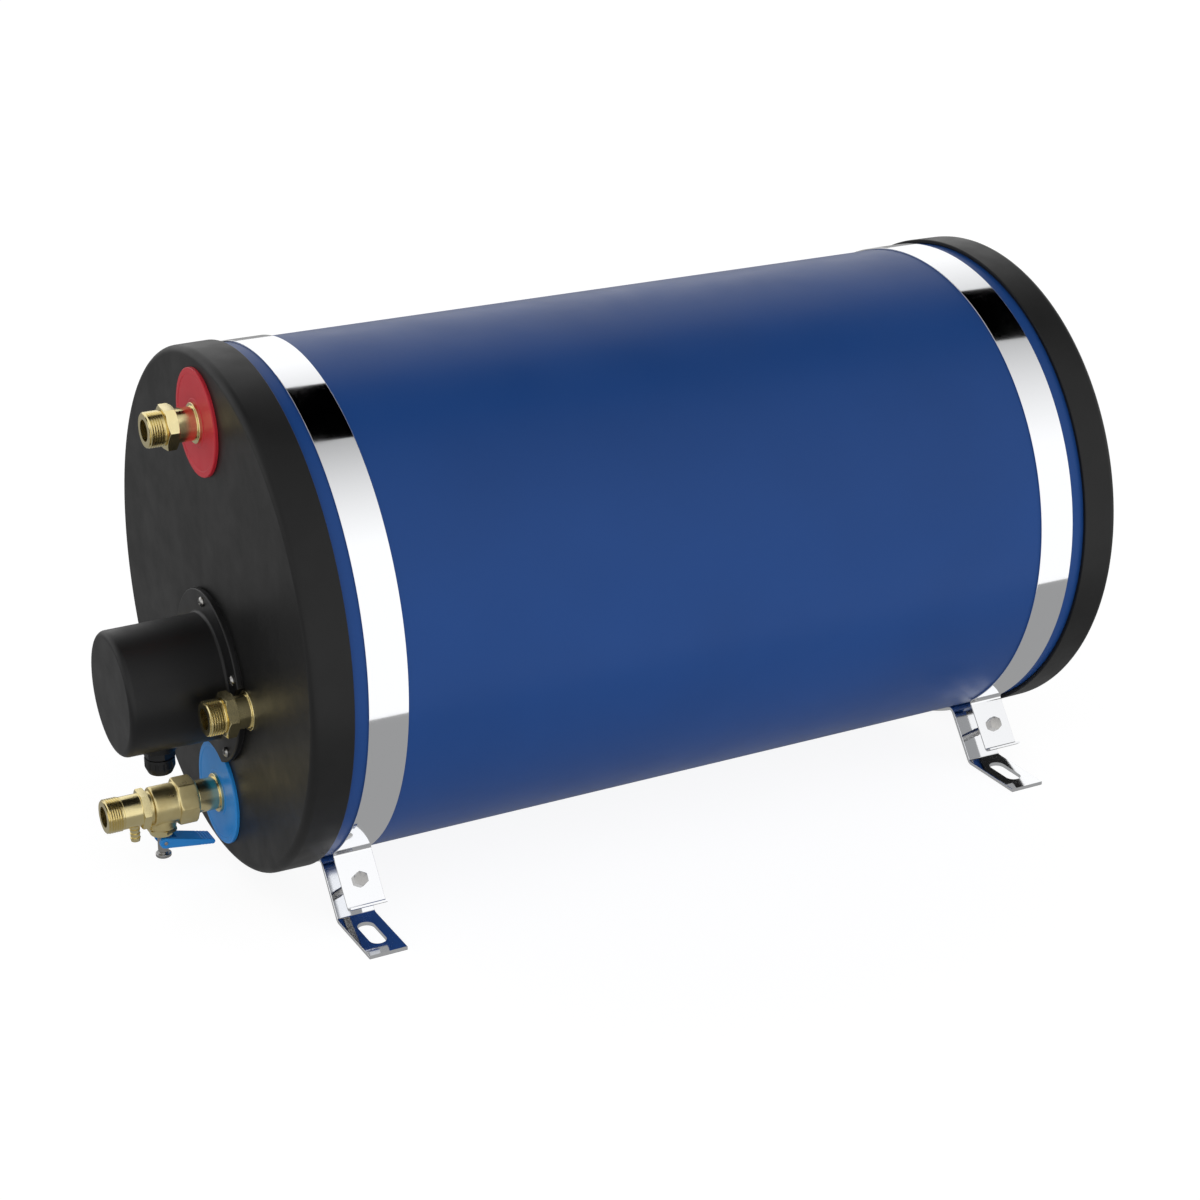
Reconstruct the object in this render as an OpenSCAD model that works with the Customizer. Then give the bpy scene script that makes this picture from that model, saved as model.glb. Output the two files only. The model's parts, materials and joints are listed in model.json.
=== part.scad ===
// Marine water heater: a horizontal insulated tank in a painted jacket, held by two
// stainless clamp straps on saddle feet, with its pipe connections, heater cover and
// safety valve on the front end.
// Frame: the tank lies along Y with the connections at -Y, +Z is up, and the origin is
// on the floor in the middle of the four mounting slots.

/* [Tank jacket] */
// Length over both end caps
overall_length = 682; // [440:1:1200]
// Outer diameter of the painted jacket
casing_d = 388; // [300:1:600]
// Thickness of the jacket sheet
casing_wall = 1; // [0.8:0.1:3]
// Free height under the jacket
floor_gap = 18; // [17:0.5:60]

/* [End caps] */
// Wall of the moulded end caps
cap_wall = 3.2; // [2.5:0.1:5]
// Depth of an end cap from its face to the end of its skirt
cap_depth = 31; // [20:0.5:38]
// Rounding of the cap's outer edge
cap_edge_r = 6; // [2:0.5:7]
// Radial gap between the jacket and a cap's skirt
cap_clearance = 0.3; // [0.1:0.1:1]

/* [Straps and feet] */
// Width of the clamp straps and the saddles
strap_w = 30; // [24:1:36]
// Free width of jacket between an end cap and its strap
strap_gap = 11; // [4:1:100]
// Thickness of the clamp straps
strap_t = 1.5; // [1:0.1:3]
// Thickness of the saddles and their feet
saddle_t = 3; // [2:0.5:5]
// Inner radius of the bends in the straps and saddles
bend_r = 3; // [2:0.5:6]
// Length of a strap's ear beyond the middle of its bolt
ear_margin = 21; // [12:1:30]
// Height of the lip that stiffens the end of an ear
lip_h = 6; // [5:0.5:10]
// Free gap between an ear and the saddle's web under it
clamp_gap = 27; // [20:1:40]
// Distance across the tank between the middles of the mounting slots
slot_spacing_x = 300; // [240:1:460]
// Length of a mounting slot, end to end
slot_length = 34; // [18:1:40]
// Width of a mounting slot
slot_w = 13; // [8:0.5:16]
// Distance from the root of a foot to the middle of its slot
foot_heel = 27; // [24:1:40]
// Metal left past the outer end of a slot
foot_margin = 13; // [8:1:20]

/* [Clamp bolts] */
// Thread diameter of the clamp bolts
bolt_d = 6; // [5:1:8]
// Across flats of the bolt heads and nuts
bolt_af = 10; // [8:1:13]
// Height of a bolt head
bolt_head_h = 4; // [3:0.5:6]
// Height of a nut
bolt_nut_h = 5; // [4:0.5:8]
// Thread left below a nut
bolt_tail = 4; // [1:0.5:10]
// Distance from the jacket to the middle of a clamp bolt
bolt_reach = 24; // [16:1:30]
// Radial gap around a bolt or screw in a plain hole
bolt_clearance = 0.3; // [0.2:0.1:1]
// Radial gap that stands for a thread's engagement
thread_clearance = 0.05; // [0.02:0.01:0.2]

/* [Pipe connections] */
// Radius of the coloured discs behind the hot and cold connections
disc_r = 40; // [28:0.5:44]
// Thickness of the coloured discs
disc_t = 3; // [1.5:0.5:5]
// Distance from the edge of the cap to the edge of a coloured disc
disc_margin = 10.5; // [7:0.5:20]
// Gap between the heater cover's flange and the collar of a heating coil connection
coil_gap = 1; // [0.5:0.5:3]
// Distance that a coil connection's collar is let into that flange
coil_inset = 10; // [0:0.5:12]
// Length of the hot connection from the cap's face
hot_length = 41; // [36:1:60]
// Length of a coil connection from the cap's face
coil_length = 34; // [30:1:60]
// Outer radius of the connections' threads
port_thread_r = 13.2; // [12:0.1:16]
// Length of the connections' threads
port_thread_l = 13; // [8:0.5:18]
// Radius of the water way in a connection
port_bore_r = 8; // [5:0.5:9]
// Radius of a connection's plain barrel
port_barrel_r = 12.5; // [11.5:0.5:14]
// Across flats of a connection's hexagon
port_af = 30; // [27:0.5:34]
// Length of a connection's hexagon
port_hex_l = 9; // [6:0.5:12]
// Radius of the collar that a connection seats on
collar_r = 15; // [14.5:0.5:18]
// Thickness of that collar
collar_t = 2; // [1:0.5:4]
// Radial gap around a connection's shank in a disc or cap
port_clearance = 0.4; // [0.2:0.1:1]

/* [Heater cover] */
// Gap between the cold connection's disc and the heater cover's cup above it
cover_gap = 9; // [4:0.5:20]
// Outer radius of the cover's cup
cover_r = 48; // [38:0.5:60]
// Height of the cover above the cap's face
cover_h = 80; // [66:1:110]
// Wall of the cover
cover_wall = 3; // [2:0.5:5]
// Rounding of the cup's front edge
cover_edge_r = 5; // [2:0.5:8]
// Width of the cover's flange outside the ring of screws
flange_margin = 6.7; // [5:0.1:12]
// Thickness of the cover's flange
flange_t = 4; // [3:0.5:6]
// Gap between the cover's flange and the cold connection's disc
flange_gap = 1; // [0.5:0.5:3]
// Thickness of the gasket under the flange
gasket_t = 1.5; // [1:0.5:3]
// Free width between the cup and the heads of the cover screws
screw_gap = 7.5; // [1:0.5:12]
// Thread diameter of a cover screw
screw_d = 4; // [3:0.5:5]
// Radius of a cover screw's head
screw_head_r = 3.8; // [3:0.1:4.5]
// Height of a cover screw's head
screw_head_h = 2.6; // [2:0.1:4]
// Number of cover screws
screw_n = 5; // [5]

/* [Cable gland] */
// Distance from the cap's face to the middle of the cable gland
gland_y = 46; // [26:1:58]
// Radius of the flat pad on the cup that the gland seats on
gland_pad_r = 13; // [12:0.5:16]
// Height of that pad below the cup
gland_pad_h = 3; // [2:0.5:6]
// Across flats of the gland's body
gland_af = 21; // [19:0.5:24]
// Length of the gland's hexagon
gland_hex_l = 6; // [4:0.5:10]
// Radius of the gland's thread
gland_thread_r = 8; // [7:0.5:9]
// Outer radius of the gland's clamping nut
gland_nut_r = 11.5; // [10.5:0.5:13]
// Length of the gland's clamping nut
gland_nut_l = 13; // [10:0.5:15]
// Radius of the cable way
cable_r = 4; // [3:0.5:5]

/* [Safety valve] */
// Free length of the cold connection between its disc and the valve
cold_neck = 19; // [8:1:30]
// Length of the cold connection's thread inside the valve
cold_thread_l = 12; // [8:1:14]
// Radius of the cold connection's thread
cold_thread_r = 10.4; // [9.5:0.1:11]
// Across flats of the valve's inlet hexagon
valve_af = 32; // [28:0.5:36]
// Length of the valve's inlet hexagon
valve_hex_l = 15; // [13:0.5:20]
// Radius of the valve's barrel
valve_r = 15; // [13:0.5:16]
// Across flats of the hexagon on the valve's tail piece
tail_af = 27; // [26:0.5:32]
// Length of that hexagon
tail_hex_l = 6; // [5:0.5:10]
// Radius of the tail piece's barrel
tail_r = 12.5; // [11.5:0.5:13]
// Length of the tail piece's barrel
tail_barrel_l = 14; // [10:1:24]
// Radius of the bonnet
bonnet_r = 10; // [9:0.5:11]
// Length of the bonnet below its boss
bonnet_l = 6; // [5:0.5:14]
// Radius of the valve's stem
stem_r = 4; // [3:0.5:4.5]
// Gap between the lever's knob and the lever at rest
knob_gap = 6.5; // [6.5:0.5:10]
// Gap between the bonnet and the lever at its pivot
heel_gap = 1; // [0.5:0.5:3]
// Radius of the knob on the end of the stem
knob_r = 6; // [4.5:0.5:6]
// Thickness of that knob
knob_t = 3; // [2:0.5:4]
// Radius of the lever's pivot pin
pin_r = 1.5; // [1:0.25:2]
// Radial running gap between the pivot pin and the lever
pin_gap = 0.08; // [0.02:0.01:0.1]
// Thickness of the test lever at its pivot
lever_t = 8.5; // [7:0.5:10]
// Width of the test lever
lever_w = 16; // [15:0.5:20]
// Gap between the tip of the test lever and the cold connection's disc
lever_gap = 5.5; // [5:0.5:15]
// Thickness of the test lever at its tip
lever_tip_t = 4; // [3:0.5:7]
// Angle at which the lever leans away from the valve at rest
lever_rake_a = 11; // [5:1:12]
// Gap between the stem and each cheek of the lever
fork_gap = 0.5; // [0.3:0.1:1]
// Radius of the drain nozzle
drain_r = 4; // [3:0.5:5]
// Distance from the valve's axis to the drain nozzle's mouth
drain_drop = 25; // [20:0.5:28]
// Radius of the drain nozzle's bore
drain_bore_r = 2.2; // [1.5:0.1:2.5]

/* [Hidden] */
$fn = 96;

cut = 1;                                            // how far a cutter runs past a face
lap_a = 0.5;                                        // turn by which a bend runs into its neighbours
flank_in = 0.03;                                    // how far the lever's flanks run inside its ends
casing_r = casing_d / 2;
cap_r = casing_r + cap_clearance + cap_wall;
axis_z = casing_r + floor_gap;
half_length = overall_length / 2;
strap_y = half_length - cap_depth - strap_gap - strap_w / 2;

// The ear's angle from straight down, so that the saddle's web, which is parallel to the
// ear, comes down to the floor at the foot's root.
web_offset = strap_t + clamp_gap;                   // from the ear's outer face to the web
root_x = slot_spacing_x / 2 - foot_heel;
root_h = axis_z - saddle_t - bend_r;
ear_a = atan(root_x / root_h) + asin((web_offset - bend_r) / norm([root_x, root_h]));
bolt_x = casing_r + bolt_reach;
ear_end = bolt_x + ear_margin;

// Bend between the strap's ring and its ear
ear_bend_d = casing_r + strap_t + bend_r;
ear_bend_a = asin(bend_r / ear_bend_d);
ear_bend_x = ear_bend_d * cos(ear_bend_a);
// Bend between the saddle's cradle and its web
web_bend_d = casing_r + saddle_t + bend_r;
web_bend_y = web_offset + saddle_t + bend_r;
web_bend_a = asin(web_bend_y / web_bend_d);
web_bend_x = web_bend_d * cos(web_bend_a);
// Bend between the web and the foot
root_bend_y = web_offset - bend_r;
root_bend_x = (root_h - root_bend_y * sin(ear_a)) / cos(ear_a);

shank_hole_r = port_barrel_r + port_clearance;
port_z = cap_r - disc_margin - disc_r;              // from the tank's axis to a disc
cover_rise = disc_r + cover_gap + cover_r;          // from the cold connection to the cover
cover_z = cover_rise - port_z;
screw_ring_r = cover_r + screw_gap + screw_head_r;
screw_hole_r = screw_d / 2 + bolt_clearance;
screw_grip_r = screw_d / 2 + thread_clearance;
flange_r = screw_ring_r + flange_margin;
flange_z = gasket_t + flange_t;
coil_x = flange_r + coil_gap + collar_r - coil_inset;
gland_top = cover_r + gland_pad_h;                  // from the cover's axis to the gland

// Along the valve, from the cap's face outward
valve_start = disc_t + cold_neck;
boss_r = bonnet_r + 1;
bonnet_y = valve_start + valve_hex_l + boss_r;
valve_split = bonnet_y + boss_r;
drain_y = valve_split + tail_hex_l + drain_r;
// Down from the valve's axis
boss_drop = valve_r + 3;
bonnet_drop = boss_drop + bonnet_l;
pivot_drop = bonnet_drop + heel_gap + lever_t / 2;
stem_drop = pivot_drop + lever_t / 2 + knob_gap + knob_t;

lever_l = bonnet_y - disc_t - lever_gap;
lever_open_a = 30;
lever_swing_a = lever_rake_a + lever_open_a;
lever_slot_l = stem_r / cos(lever_swing_a) + lever_t / 2 * tan(lever_swing_a) + fork_gap;
slot_in = slot_length / 2 - slot_w / 2;

// ---------- helpers ----------

// Radius of a hexagon's corners, from its size across flats
function hex_r(af) = af / 2 / cos(30);

// Flat ring sector between two angles
module ring_arc(r_in, t, a0, a1) {
    steps = 8;
    far = 2 * (r_in + t);
    intersection() {
        difference() {
            circle(r_in + t);
            circle(r_in);
        }
        polygon(concat([[0, 0]], [for (i = [0:steps]) let (a = a0 + (a1 - a0) * i / steps)
            far * [cos(a), sin(a)]]));
    }
}

// Bend in a strip, lapped a little into the straight or curved stretches that it joins
module bend_arc(r_in, t, a0, a1) {
    ring_arc(r_in, t, a0 - lap_a, a1 + lap_a);
}

// Disc or cup outline for rotate_extrude, square at the axis, with its top outer edge rounded
module rounded_half(r, h, edge) {
    square([r - edge, h]);
    square([r, h - edge]);
    translate([r - edge, h - edge])
        intersection() {
            circle(edge);
            square(edge);
        }
}

// Hexagon with its ends chamfered round, standing on z = 0
module hexagon(af, h) {
    chamfer = 1;
    intersection() {
        cylinder(r = hex_r(af), h = h, $fn = 6);
        rotate_extrude()
            polygon([[0, 0], [hex_r(af) - chamfer, 0], [hex_r(af), chamfer],
                [hex_r(af), h - chamfer], [hex_r(af) - chamfer, h], [0, h]]);
    }
}

// Plain cylinder that stands for a male thread, with a lead-in chamfer at its outer end
module thread_rod(r, h) {
    lead = 1;
    cylinder(r = r, h = h - lead);
    translate([0, 0, h - lead]) cylinder(r1 = r, r2 = r - lead, h = lead);
}

// Places something on the front face: local z points away from the tank, local y is up
module on_front(x, z, out = 0) {
    translate([x, -half_length - out, axis_z + z]) rotate([90, 0, 0]) children();
}

// Right (+X) side as modelled, or its mirror image on the left
module on_side(right) {
    if (right) children();
    else mirror([1, 0, 0]) children();
}

// Places something on a clamp bolt's axis: local z points out of the ear's face
module at_clamp(y, right) {
    translate([0, y, axis_z])
        on_side(right)
            rotate([0, 90 - ear_a, 0])
                translate([bolt_x, 0, 0]) children();
}

// Turns a flat outline in the tank's cross-section into a strip of the strap's width
module across_tank(y) {
    translate([0, y, axis_z])
        rotate([90, 0, 0])
            linear_extrude(height = strap_w, center = true) children();
}

// ---------- jacket and caps ----------

module casing() {
    color("#243c78")
        translate([0, 0, axis_z]) rotate([90, 0, 0]) difference() {
            cylinder(r = casing_r, h = overall_length - 2 * cap_wall, center = true, $fn = 180);
            cylinder(r = casing_r - casing_wall, h = overall_length, center = true, $fn = 180);
        }
}

// End cap with its face at z = cap_depth
module cap_shell() {
    rotate_extrude($fn = 180) difference() {
        rounded_half(cap_r, cap_depth, cap_edge_r);
        translate([0, -cut]) square([casing_r + cap_clearance, cap_depth - cap_wall + cut]);
    }
}

module front_cap() {
    color("#343434") difference() {
        on_front(0, 0, -cap_depth) cap_shell();
        for (z = [port_z, -port_z])
            on_front(0, z, -cap_wall - cut) cylinder(r = shank_hole_r, h = cap_wall + 2 * cut);
        for (x = [-coil_x, coil_x])
            on_front(x, cover_z, -cap_wall - cut) cylinder(r = shank_hole_r, h = cap_wall + 2 * cut);
        cover_screw_places(-cap_wall - cut) cylinder(r = screw_grip_r, h = cap_wall + 2 * cut, $fn = 24);
    }
}

module rear_cap() {
    color("#343434")
        translate([0, half_length - cap_depth, axis_z]) rotate([-90, 0, 0]) cap_shell();
}

// ---------- clamp straps and saddles ----------

module strap(y) {
    color("#d9dbde") difference() {
        across_tank(y) {
            ring_arc(casing_r, strap_t, ear_a + ear_bend_a - 90, 270 - ear_a - ear_bend_a, $fn = 180);
            for (right = [true, false]) on_side(right) rotate(ear_a - 90) ear_outline();
        }
        for (right = [true, false])
            at_clamp(y, right) bolt_hole(strap_t);
    }
}

// Ear of a strap: along x, with its outer face on y = 0 and its lip turned up
module ear_outline() {
    lip_x = ear_end - strap_t - bend_r / 2;
    translate([ear_bend_x, bend_r]) bend_arc(bend_r, strap_t, 180 + ear_bend_a, 270);
    translate([ear_bend_x, -strap_t]) square([lip_x - ear_bend_x, strap_t]);
    translate([lip_x, bend_r / 2]) bend_arc(bend_r / 2, strap_t, -90, 0);
    translate([ear_end - strap_t, bend_r / 2]) square([strap_t, lip_h - bend_r / 2]);
}

module saddle(y) {
    color("#c4c6ca") difference() {
        across_tank(y) {
            ring_arc(casing_r, saddle_t, web_bend_a - ear_a - 90, ear_a - web_bend_a - 90, $fn = 180);
            for (right = [true, false]) on_side(right) {
                rotate(ear_a - 90) web_outline();
                foot_outline();
            }
        }
        for (right = [true, false]) {
            at_clamp(y, right) translate([0, 0, -web_offset]) bolt_hole(saddle_t);
            translate([0, y, 0]) on_side(right) mounting_slot();
        }
    }
}

// Web of a saddle, parallel to the ear above it
module web_outline() {
    translate([web_bend_x, -web_bend_y]) bend_arc(bend_r, saddle_t, 90, 180 - web_bend_a);
    translate([web_bend_x, -web_offset - saddle_t])
        square([root_bend_x - web_bend_x, saddle_t]);
}

// Bend at the root of a foot, and the foot itself flat on the floor
module foot_outline() {
    foot_end = slot_spacing_x / 2 + slot_length / 2 + foot_margin;
    translate([root_x, bend_r + saddle_t - axis_z]) bend_arc(bend_r, saddle_t, ear_a - 180, -90);
    translate([root_x, -axis_z]) square([foot_end - root_x, saddle_t]);
}

module mounting_slot() {
    translate([slot_spacing_x / 2, 0, -cut]) {
        for (x = [-slot_in, slot_in])
            translate([x, 0, 0]) cylinder(r = slot_w / 2, h = saddle_t + 2 * cut, $fn = 48);
        translate([-slot_in, -slot_w / 2, 0]) cube([2 * slot_in, slot_w, saddle_t + 2 * cut]);
    }
}

// Hole down through a sheet whose top face is on z = 0
module bolt_hole(sheet) {
    translate([0, 0, -sheet - cut])
        cylinder(r = bolt_d / 2 + bolt_clearance, h = sheet + 2 * cut, $fn = 32);
}

module clamp_bolt(y, right) {
    shank_l = web_offset + saddle_t + bolt_nut_h + bolt_tail;
    color("#9a9c9e") at_clamp(y, right) {
        hexagon(bolt_af, bolt_head_h);
        rotate([180, 0, 0]) thread_rod(bolt_d / 2, shank_l, $fn = 32);
    }
}

module clamp_nut(y, right) {
    color("#9a9c9e") at_clamp(y, right)
        translate([0, 0, -web_offset - saddle_t - bolt_nut_h]) difference() {
            hexagon(bolt_af, bolt_nut_h);
            translate([0, 0, -cut])
                cylinder(r = bolt_d / 2 + thread_clearance, h = bolt_nut_h + 2 * cut, $fn = 32);
        }
}

// ---------- pipe connections ----------

module port_disc(z, tint) {
    edge = min(1, disc_t / 2);
    color(tint) on_front(0, z) difference() {
        rotate_extrude() rounded_half(disc_r, disc_t, edge);
        translate([0, 0, -cut]) cylinder(r = shank_hole_r, h = disc_t + 2 * cut);
    }
}

// Connection seated on z = seat: shank, collar, barrel, hexagon, male thread and water way
module connection(seat, length) {
    hex_z = length - port_thread_l - port_hex_l;
    color("#c8b46e") difference() {
        union() {
            shank(seat, hex_z);
            translate([0, 0, hex_z]) hexagon(port_af, port_hex_l);
            translate([0, 0, hex_z + port_hex_l]) thread_rod(port_thread_r, port_thread_l);
        }
        translate([0, 0, seat + 1]) cylinder(r = port_bore_r, h = length);
    }
}

// Barrel from the inside of the cap out to z = top, with the collar that it seats on
module shank(seat, top) {
    translate([0, 0, -cap_wall]) cylinder(r = port_barrel_r, h = cap_wall + top);
    translate([0, 0, seat]) cylinder(r = collar_r, h = collar_t);
}

module hot_connection() {
    on_front(0, port_z) connection(disc_t, hot_length);
}

module cold_connection() {
    neck_top = valve_start - 1;
    color("#c8b46e") on_front(0, -port_z) {
        shank(disc_t, neck_top);
        translate([0, 0, neck_top]) thread_rod(cold_thread_r, cold_thread_l + 1);
    }
}

module coil_connection(x) {
    on_front(x, cover_z) connection(0, coil_length);
}

// ---------- heater cover ----------

module cover_screw_places(out) {
    for (i = [0:screw_n - 1])
        cover_screw_place(i, out) children();
}

module cover_screw_place(i, out) {
    a = 90 + i * 360 / screw_n;
    on_front(screw_ring_r * cos(a), cover_z + screw_ring_r * sin(a), out) children();
}

// Plate in the outline of the cover's flange, hollowed at the foot for the cold disc and at
// the sides for the coil connections' collars
module flange_plate(r, t) {
    difference() {
        cylinder(r = r, h = t);
        translate([0, -cover_rise, -cut]) cylinder(r = disc_r + flange_gap, h = t + 2 * cut);
        for (x = [-coil_x, coil_x])
            translate([x, 0, -cut]) cylinder(r = collar_r + coil_gap, h = t + 2 * cut);
    }
}

module cover_gasket() {
    color("#1c1c1c") difference() {
        on_front(0, cover_z) difference() {
            flange_plate(flange_r - 1, gasket_t);
            translate([0, 0, -cut]) cylinder(r = cover_r - cover_wall, h = gasket_t + 2 * cut);
        }
        cover_screw_places(-cut) cylinder(r = screw_hole_r, h = gasket_t + 2 * cut, $fn = 24);
    }
}

module heater_cover() {
    color("#2d2d2d") difference() {
        on_front(0, cover_z, gasket_t) {
            difference() {
                union() {
                    flange_plate(flange_r, flange_t);
                    rotate_extrude() rounded_half(cover_r, cover_h - gasket_t, cover_edge_r);
                    gland_axis() cylinder(r = gland_pad_r, h = gland_top);
                }
                translate([0, 0, -cut])
                    cylinder(r = cover_r - cover_wall, h = cover_h - gasket_t - cover_wall + cut);
                gland_axis() cylinder(r = gland_thread_r + bolt_clearance, h = gland_top + cut);
            }
        }
        cover_screw_places(gasket_t - cut) cylinder(r = screw_hole_r, h = flange_t + 2 * cut, $fn = 24);
    }
}

// Inside the cover's frame: z runs from the cover's axis down through the gland
module gland_axis() {
    translate([0, 0, gland_y - gasket_t]) rotate([90, 0, 0]) children();
}

module cover_screw(i) {
    color("#b9bbbd") cover_screw_place(i, flange_z) {
        rotate_extrude($fn = 32) rounded_half(screw_head_r, screw_head_h, 1.2);
        translate([0, 0, -flange_z - cap_wall])
            cylinder(r = screw_d / 2, h = flange_z + cap_wall, $fn = 24);
    }
}

// Places something on the gland's seat: local z points down, out of the cover
module at_gland() {
    translate([0, -half_length - gland_y, axis_z + cover_z - gland_top]) rotate([180, 0, 0])
        children();
}

module gland_body() {
    inside = gland_pad_h + cover_wall + 1;
    color("#262626") at_gland() difference() {
        union() {
            translate([0, 0, -inside]) cylinder(r = gland_thread_r, h = inside);
            hexagon(gland_af, gland_hex_l);
        }
        translate([0, 0, -inside - cut]) cylinder(r = cable_r, h = inside + gland_hex_l + 2 * cut);
    }
}

module gland_nut() {
    color("#262626") at_gland() translate([0, 0, gland_hex_l]) difference() {
        rotate_extrude() rounded_half(gland_nut_r, gland_nut_l, 4);
        translate([0, 0, -cut]) cylinder(r = cable_r, h = gland_nut_l + 2 * cut);
    }
}

// ---------- safety valve ----------

// Places something on the valve's bonnet axis: local z points down from the valve's axis
module at_bonnet(y = bonnet_y) {
    translate([0, -half_length - y, axis_z - port_z]) rotate([180, 0, 0]) children();
}

module valve_body() {
    groove_l = 3;
    body_l = valve_split - valve_start;
    color("#c8b46e") difference() {
        union() {
            on_front(0, -port_z, valve_start) {
                hexagon(valve_af, valve_hex_l);
                cylinder(r = valve_r, h = body_l - groove_l);
                cylinder(r = valve_r - groove_l, h = body_l);
            }
            at_bonnet() cylinder(r = boss_r, h = boss_drop);
        }
        on_front(0, -port_z, valve_start - cut)
            cylinder(r = cold_thread_r + thread_clearance, h = cut + cold_thread_l + 1);
    }
}

module valve_tail() {
    thread_z = tail_hex_l + tail_barrel_l;
    color("#c8b46e") on_front(0, -port_z, valve_split) difference() {
        union() {
            hexagon(tail_af, tail_hex_l);
            cylinder(r = tail_r, h = thread_z);
            translate([0, 0, thread_z]) thread_rod(port_thread_r, port_thread_l);
        }
        translate([0, 0, 2]) cylinder(r = port_bore_r, h = thread_z + port_thread_l);
    }
}

module valve_bonnet() {
    hex_l = bonnet_l / 2;
    color("#d2c48c") at_bonnet() translate([0, 0, boss_drop]) difference() {
        union() {
            hexagon(2 * bonnet_r, hex_l);
            rotate_extrude() rounded_half(bonnet_r, bonnet_l, 2);
        }
        translate([0, 0, 1]) cylinder(r = stem_r + thread_clearance, h = bonnet_l);
    }
}

module valve_stem() {
    color("#b9bbbd") at_bonnet() difference() {
        union() {
            translate([0, 0, boss_drop + 1]) cylinder(r = stem_r, h = stem_drop - boss_drop - 1);
            translate([0, 0, stem_drop - knob_t]) rotate_extrude() rounded_half(knob_r, knob_t, 1);
        }
        translate([0, 0, pivot_drop]) rotate([0, 90, 0])
            cylinder(r = pin_r + thread_clearance / 2, h = 4 * stem_r, center = true, $fn = 32);
    }
}

// Nozzle whose root is hollowed to sit on the tail piece's barrel
module valve_drain() {
    color("#d2c48c") at_bonnet(drain_y) difference() {
        rotate_extrude() rounded_half(drain_r, drain_drop, 0.8);
        rotate([90, 0, 0]) cylinder(r = tail_r, h = 4 * drain_r, center = true);
        translate([0, 0, tail_r + 1]) cylinder(r = drain_bore_r, h = drain_drop, $fn = 32);
    }
}

module lever_pin() {
    color("#b9bbbd") at_bonnet() translate([0, 0, pivot_drop]) rotate([0, 90, 0])
        cylinder(r = pin_r, h = lever_w + 1, center = true, $fn = 32);
}

// Side view of the lever, from its pivot: two circles, with flanks that run just inside
// their tangents so that they cross them cleanly
module lever_side() {
    heel = lever_t / 2;
    tip = lever_tip_t / 2;
    tip_x = lever_l - tip;
    union() {
        circle(heel);
        polygon([[0, heel - flank_in], [0, flank_in - heel], [tip_x, flank_in - tip], [tip_x, tip - flank_in]]);
        translate([tip_x, 0]) circle(tip);
    }
}

// Lever lying back towards the tank from its pivot, with a fork around the stem
module valve_lever() {
    color("#3782b9")
        translate([0, -half_length - bonnet_y, axis_z - port_z - pivot_drop])
            rotate([-lever_rake_a, 0, 0]) difference() {
                rotate([90, 0, 90]) linear_extrude(height = lever_w, center = true) lever_side();
                translate([-stem_r - fork_gap, -lever_t, -lever_t])
                    cube([2 * (stem_r + fork_gap), lever_t + lever_slot_l, 2 * lever_t]);
                rotate([0, 90, 0])
                    cylinder(r = pin_r + pin_gap, h = 2 * lever_w, center = true, $fn = 32);
            }
}

casing();
front_cap();
rear_cap();
strap(-strap_y);  // front_strap
strap(strap_y);  // rear_strap
saddle(-strap_y);  // front_saddle
saddle(strap_y);  // rear_saddle
clamp_bolt(-strap_y, true);  // front_right_bolt
clamp_bolt(-strap_y, false);  // front_left_bolt
clamp_bolt(strap_y, true);  // rear_right_bolt
clamp_bolt(strap_y, false);  // rear_left_bolt
clamp_nut(-strap_y, true);  // front_right_nut
clamp_nut(-strap_y, false);  // front_left_nut
clamp_nut(strap_y, true);  // rear_right_nut
clamp_nut(strap_y, false);  // rear_left_nut
port_disc(port_z, "#b03a42");  // hot_disc
port_disc(-port_z, "#4a86c0");  // cold_disc
hot_connection();
cold_connection();
coil_connection(coil_x);  // coil_inlet
coil_connection(-coil_x);  // coil_outlet
cover_gasket();
heater_cover();
cover_screw(0);  // cover_screw_1
cover_screw(1);  // cover_screw_2
cover_screw(2);  // cover_screw_3
cover_screw(3);  // cover_screw_4
cover_screw(4);  // cover_screw_5
gland_body();
gland_nut();
valve_body();
valve_tail();
valve_bonnet();
valve_stem();
valve_drain();
lever_pin();
valve_lever();
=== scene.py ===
"""Looks of a horizontal marine water heater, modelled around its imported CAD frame.

Sizes are in millimetres until a piece is finished. A piece takes its place from the CAD
pieces that it stands for, and rides on the body that carries them.
"""
import json
import logging
import math
from abc import ABC, abstractmethod
from collections.abc import Sequence
from dataclasses import dataclass, field
from enum import Enum

import bmesh
import bpy
from mathutils import Matrix, Vector


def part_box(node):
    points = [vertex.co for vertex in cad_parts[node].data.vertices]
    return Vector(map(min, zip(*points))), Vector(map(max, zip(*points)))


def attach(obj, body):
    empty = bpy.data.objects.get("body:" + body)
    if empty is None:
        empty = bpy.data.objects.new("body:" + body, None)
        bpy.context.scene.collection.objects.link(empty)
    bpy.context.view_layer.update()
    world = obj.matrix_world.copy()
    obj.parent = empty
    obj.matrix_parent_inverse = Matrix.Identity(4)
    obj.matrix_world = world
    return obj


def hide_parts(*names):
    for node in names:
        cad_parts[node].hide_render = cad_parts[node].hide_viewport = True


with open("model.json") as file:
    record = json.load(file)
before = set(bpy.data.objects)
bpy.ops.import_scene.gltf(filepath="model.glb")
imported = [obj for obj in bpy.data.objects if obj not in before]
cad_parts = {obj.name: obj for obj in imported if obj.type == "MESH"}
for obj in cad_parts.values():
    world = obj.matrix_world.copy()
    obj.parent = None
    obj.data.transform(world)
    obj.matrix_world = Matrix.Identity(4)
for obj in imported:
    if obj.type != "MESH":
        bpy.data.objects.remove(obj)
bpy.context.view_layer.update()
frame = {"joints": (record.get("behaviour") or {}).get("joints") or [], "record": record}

log = logging.getLogger("water_heater")

Node = bpy.types.Node
NodeTree = bpy.types.NodeTree
Corner = tuple[float, ...]  # (across, up), and the radius of a rounded corner

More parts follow.
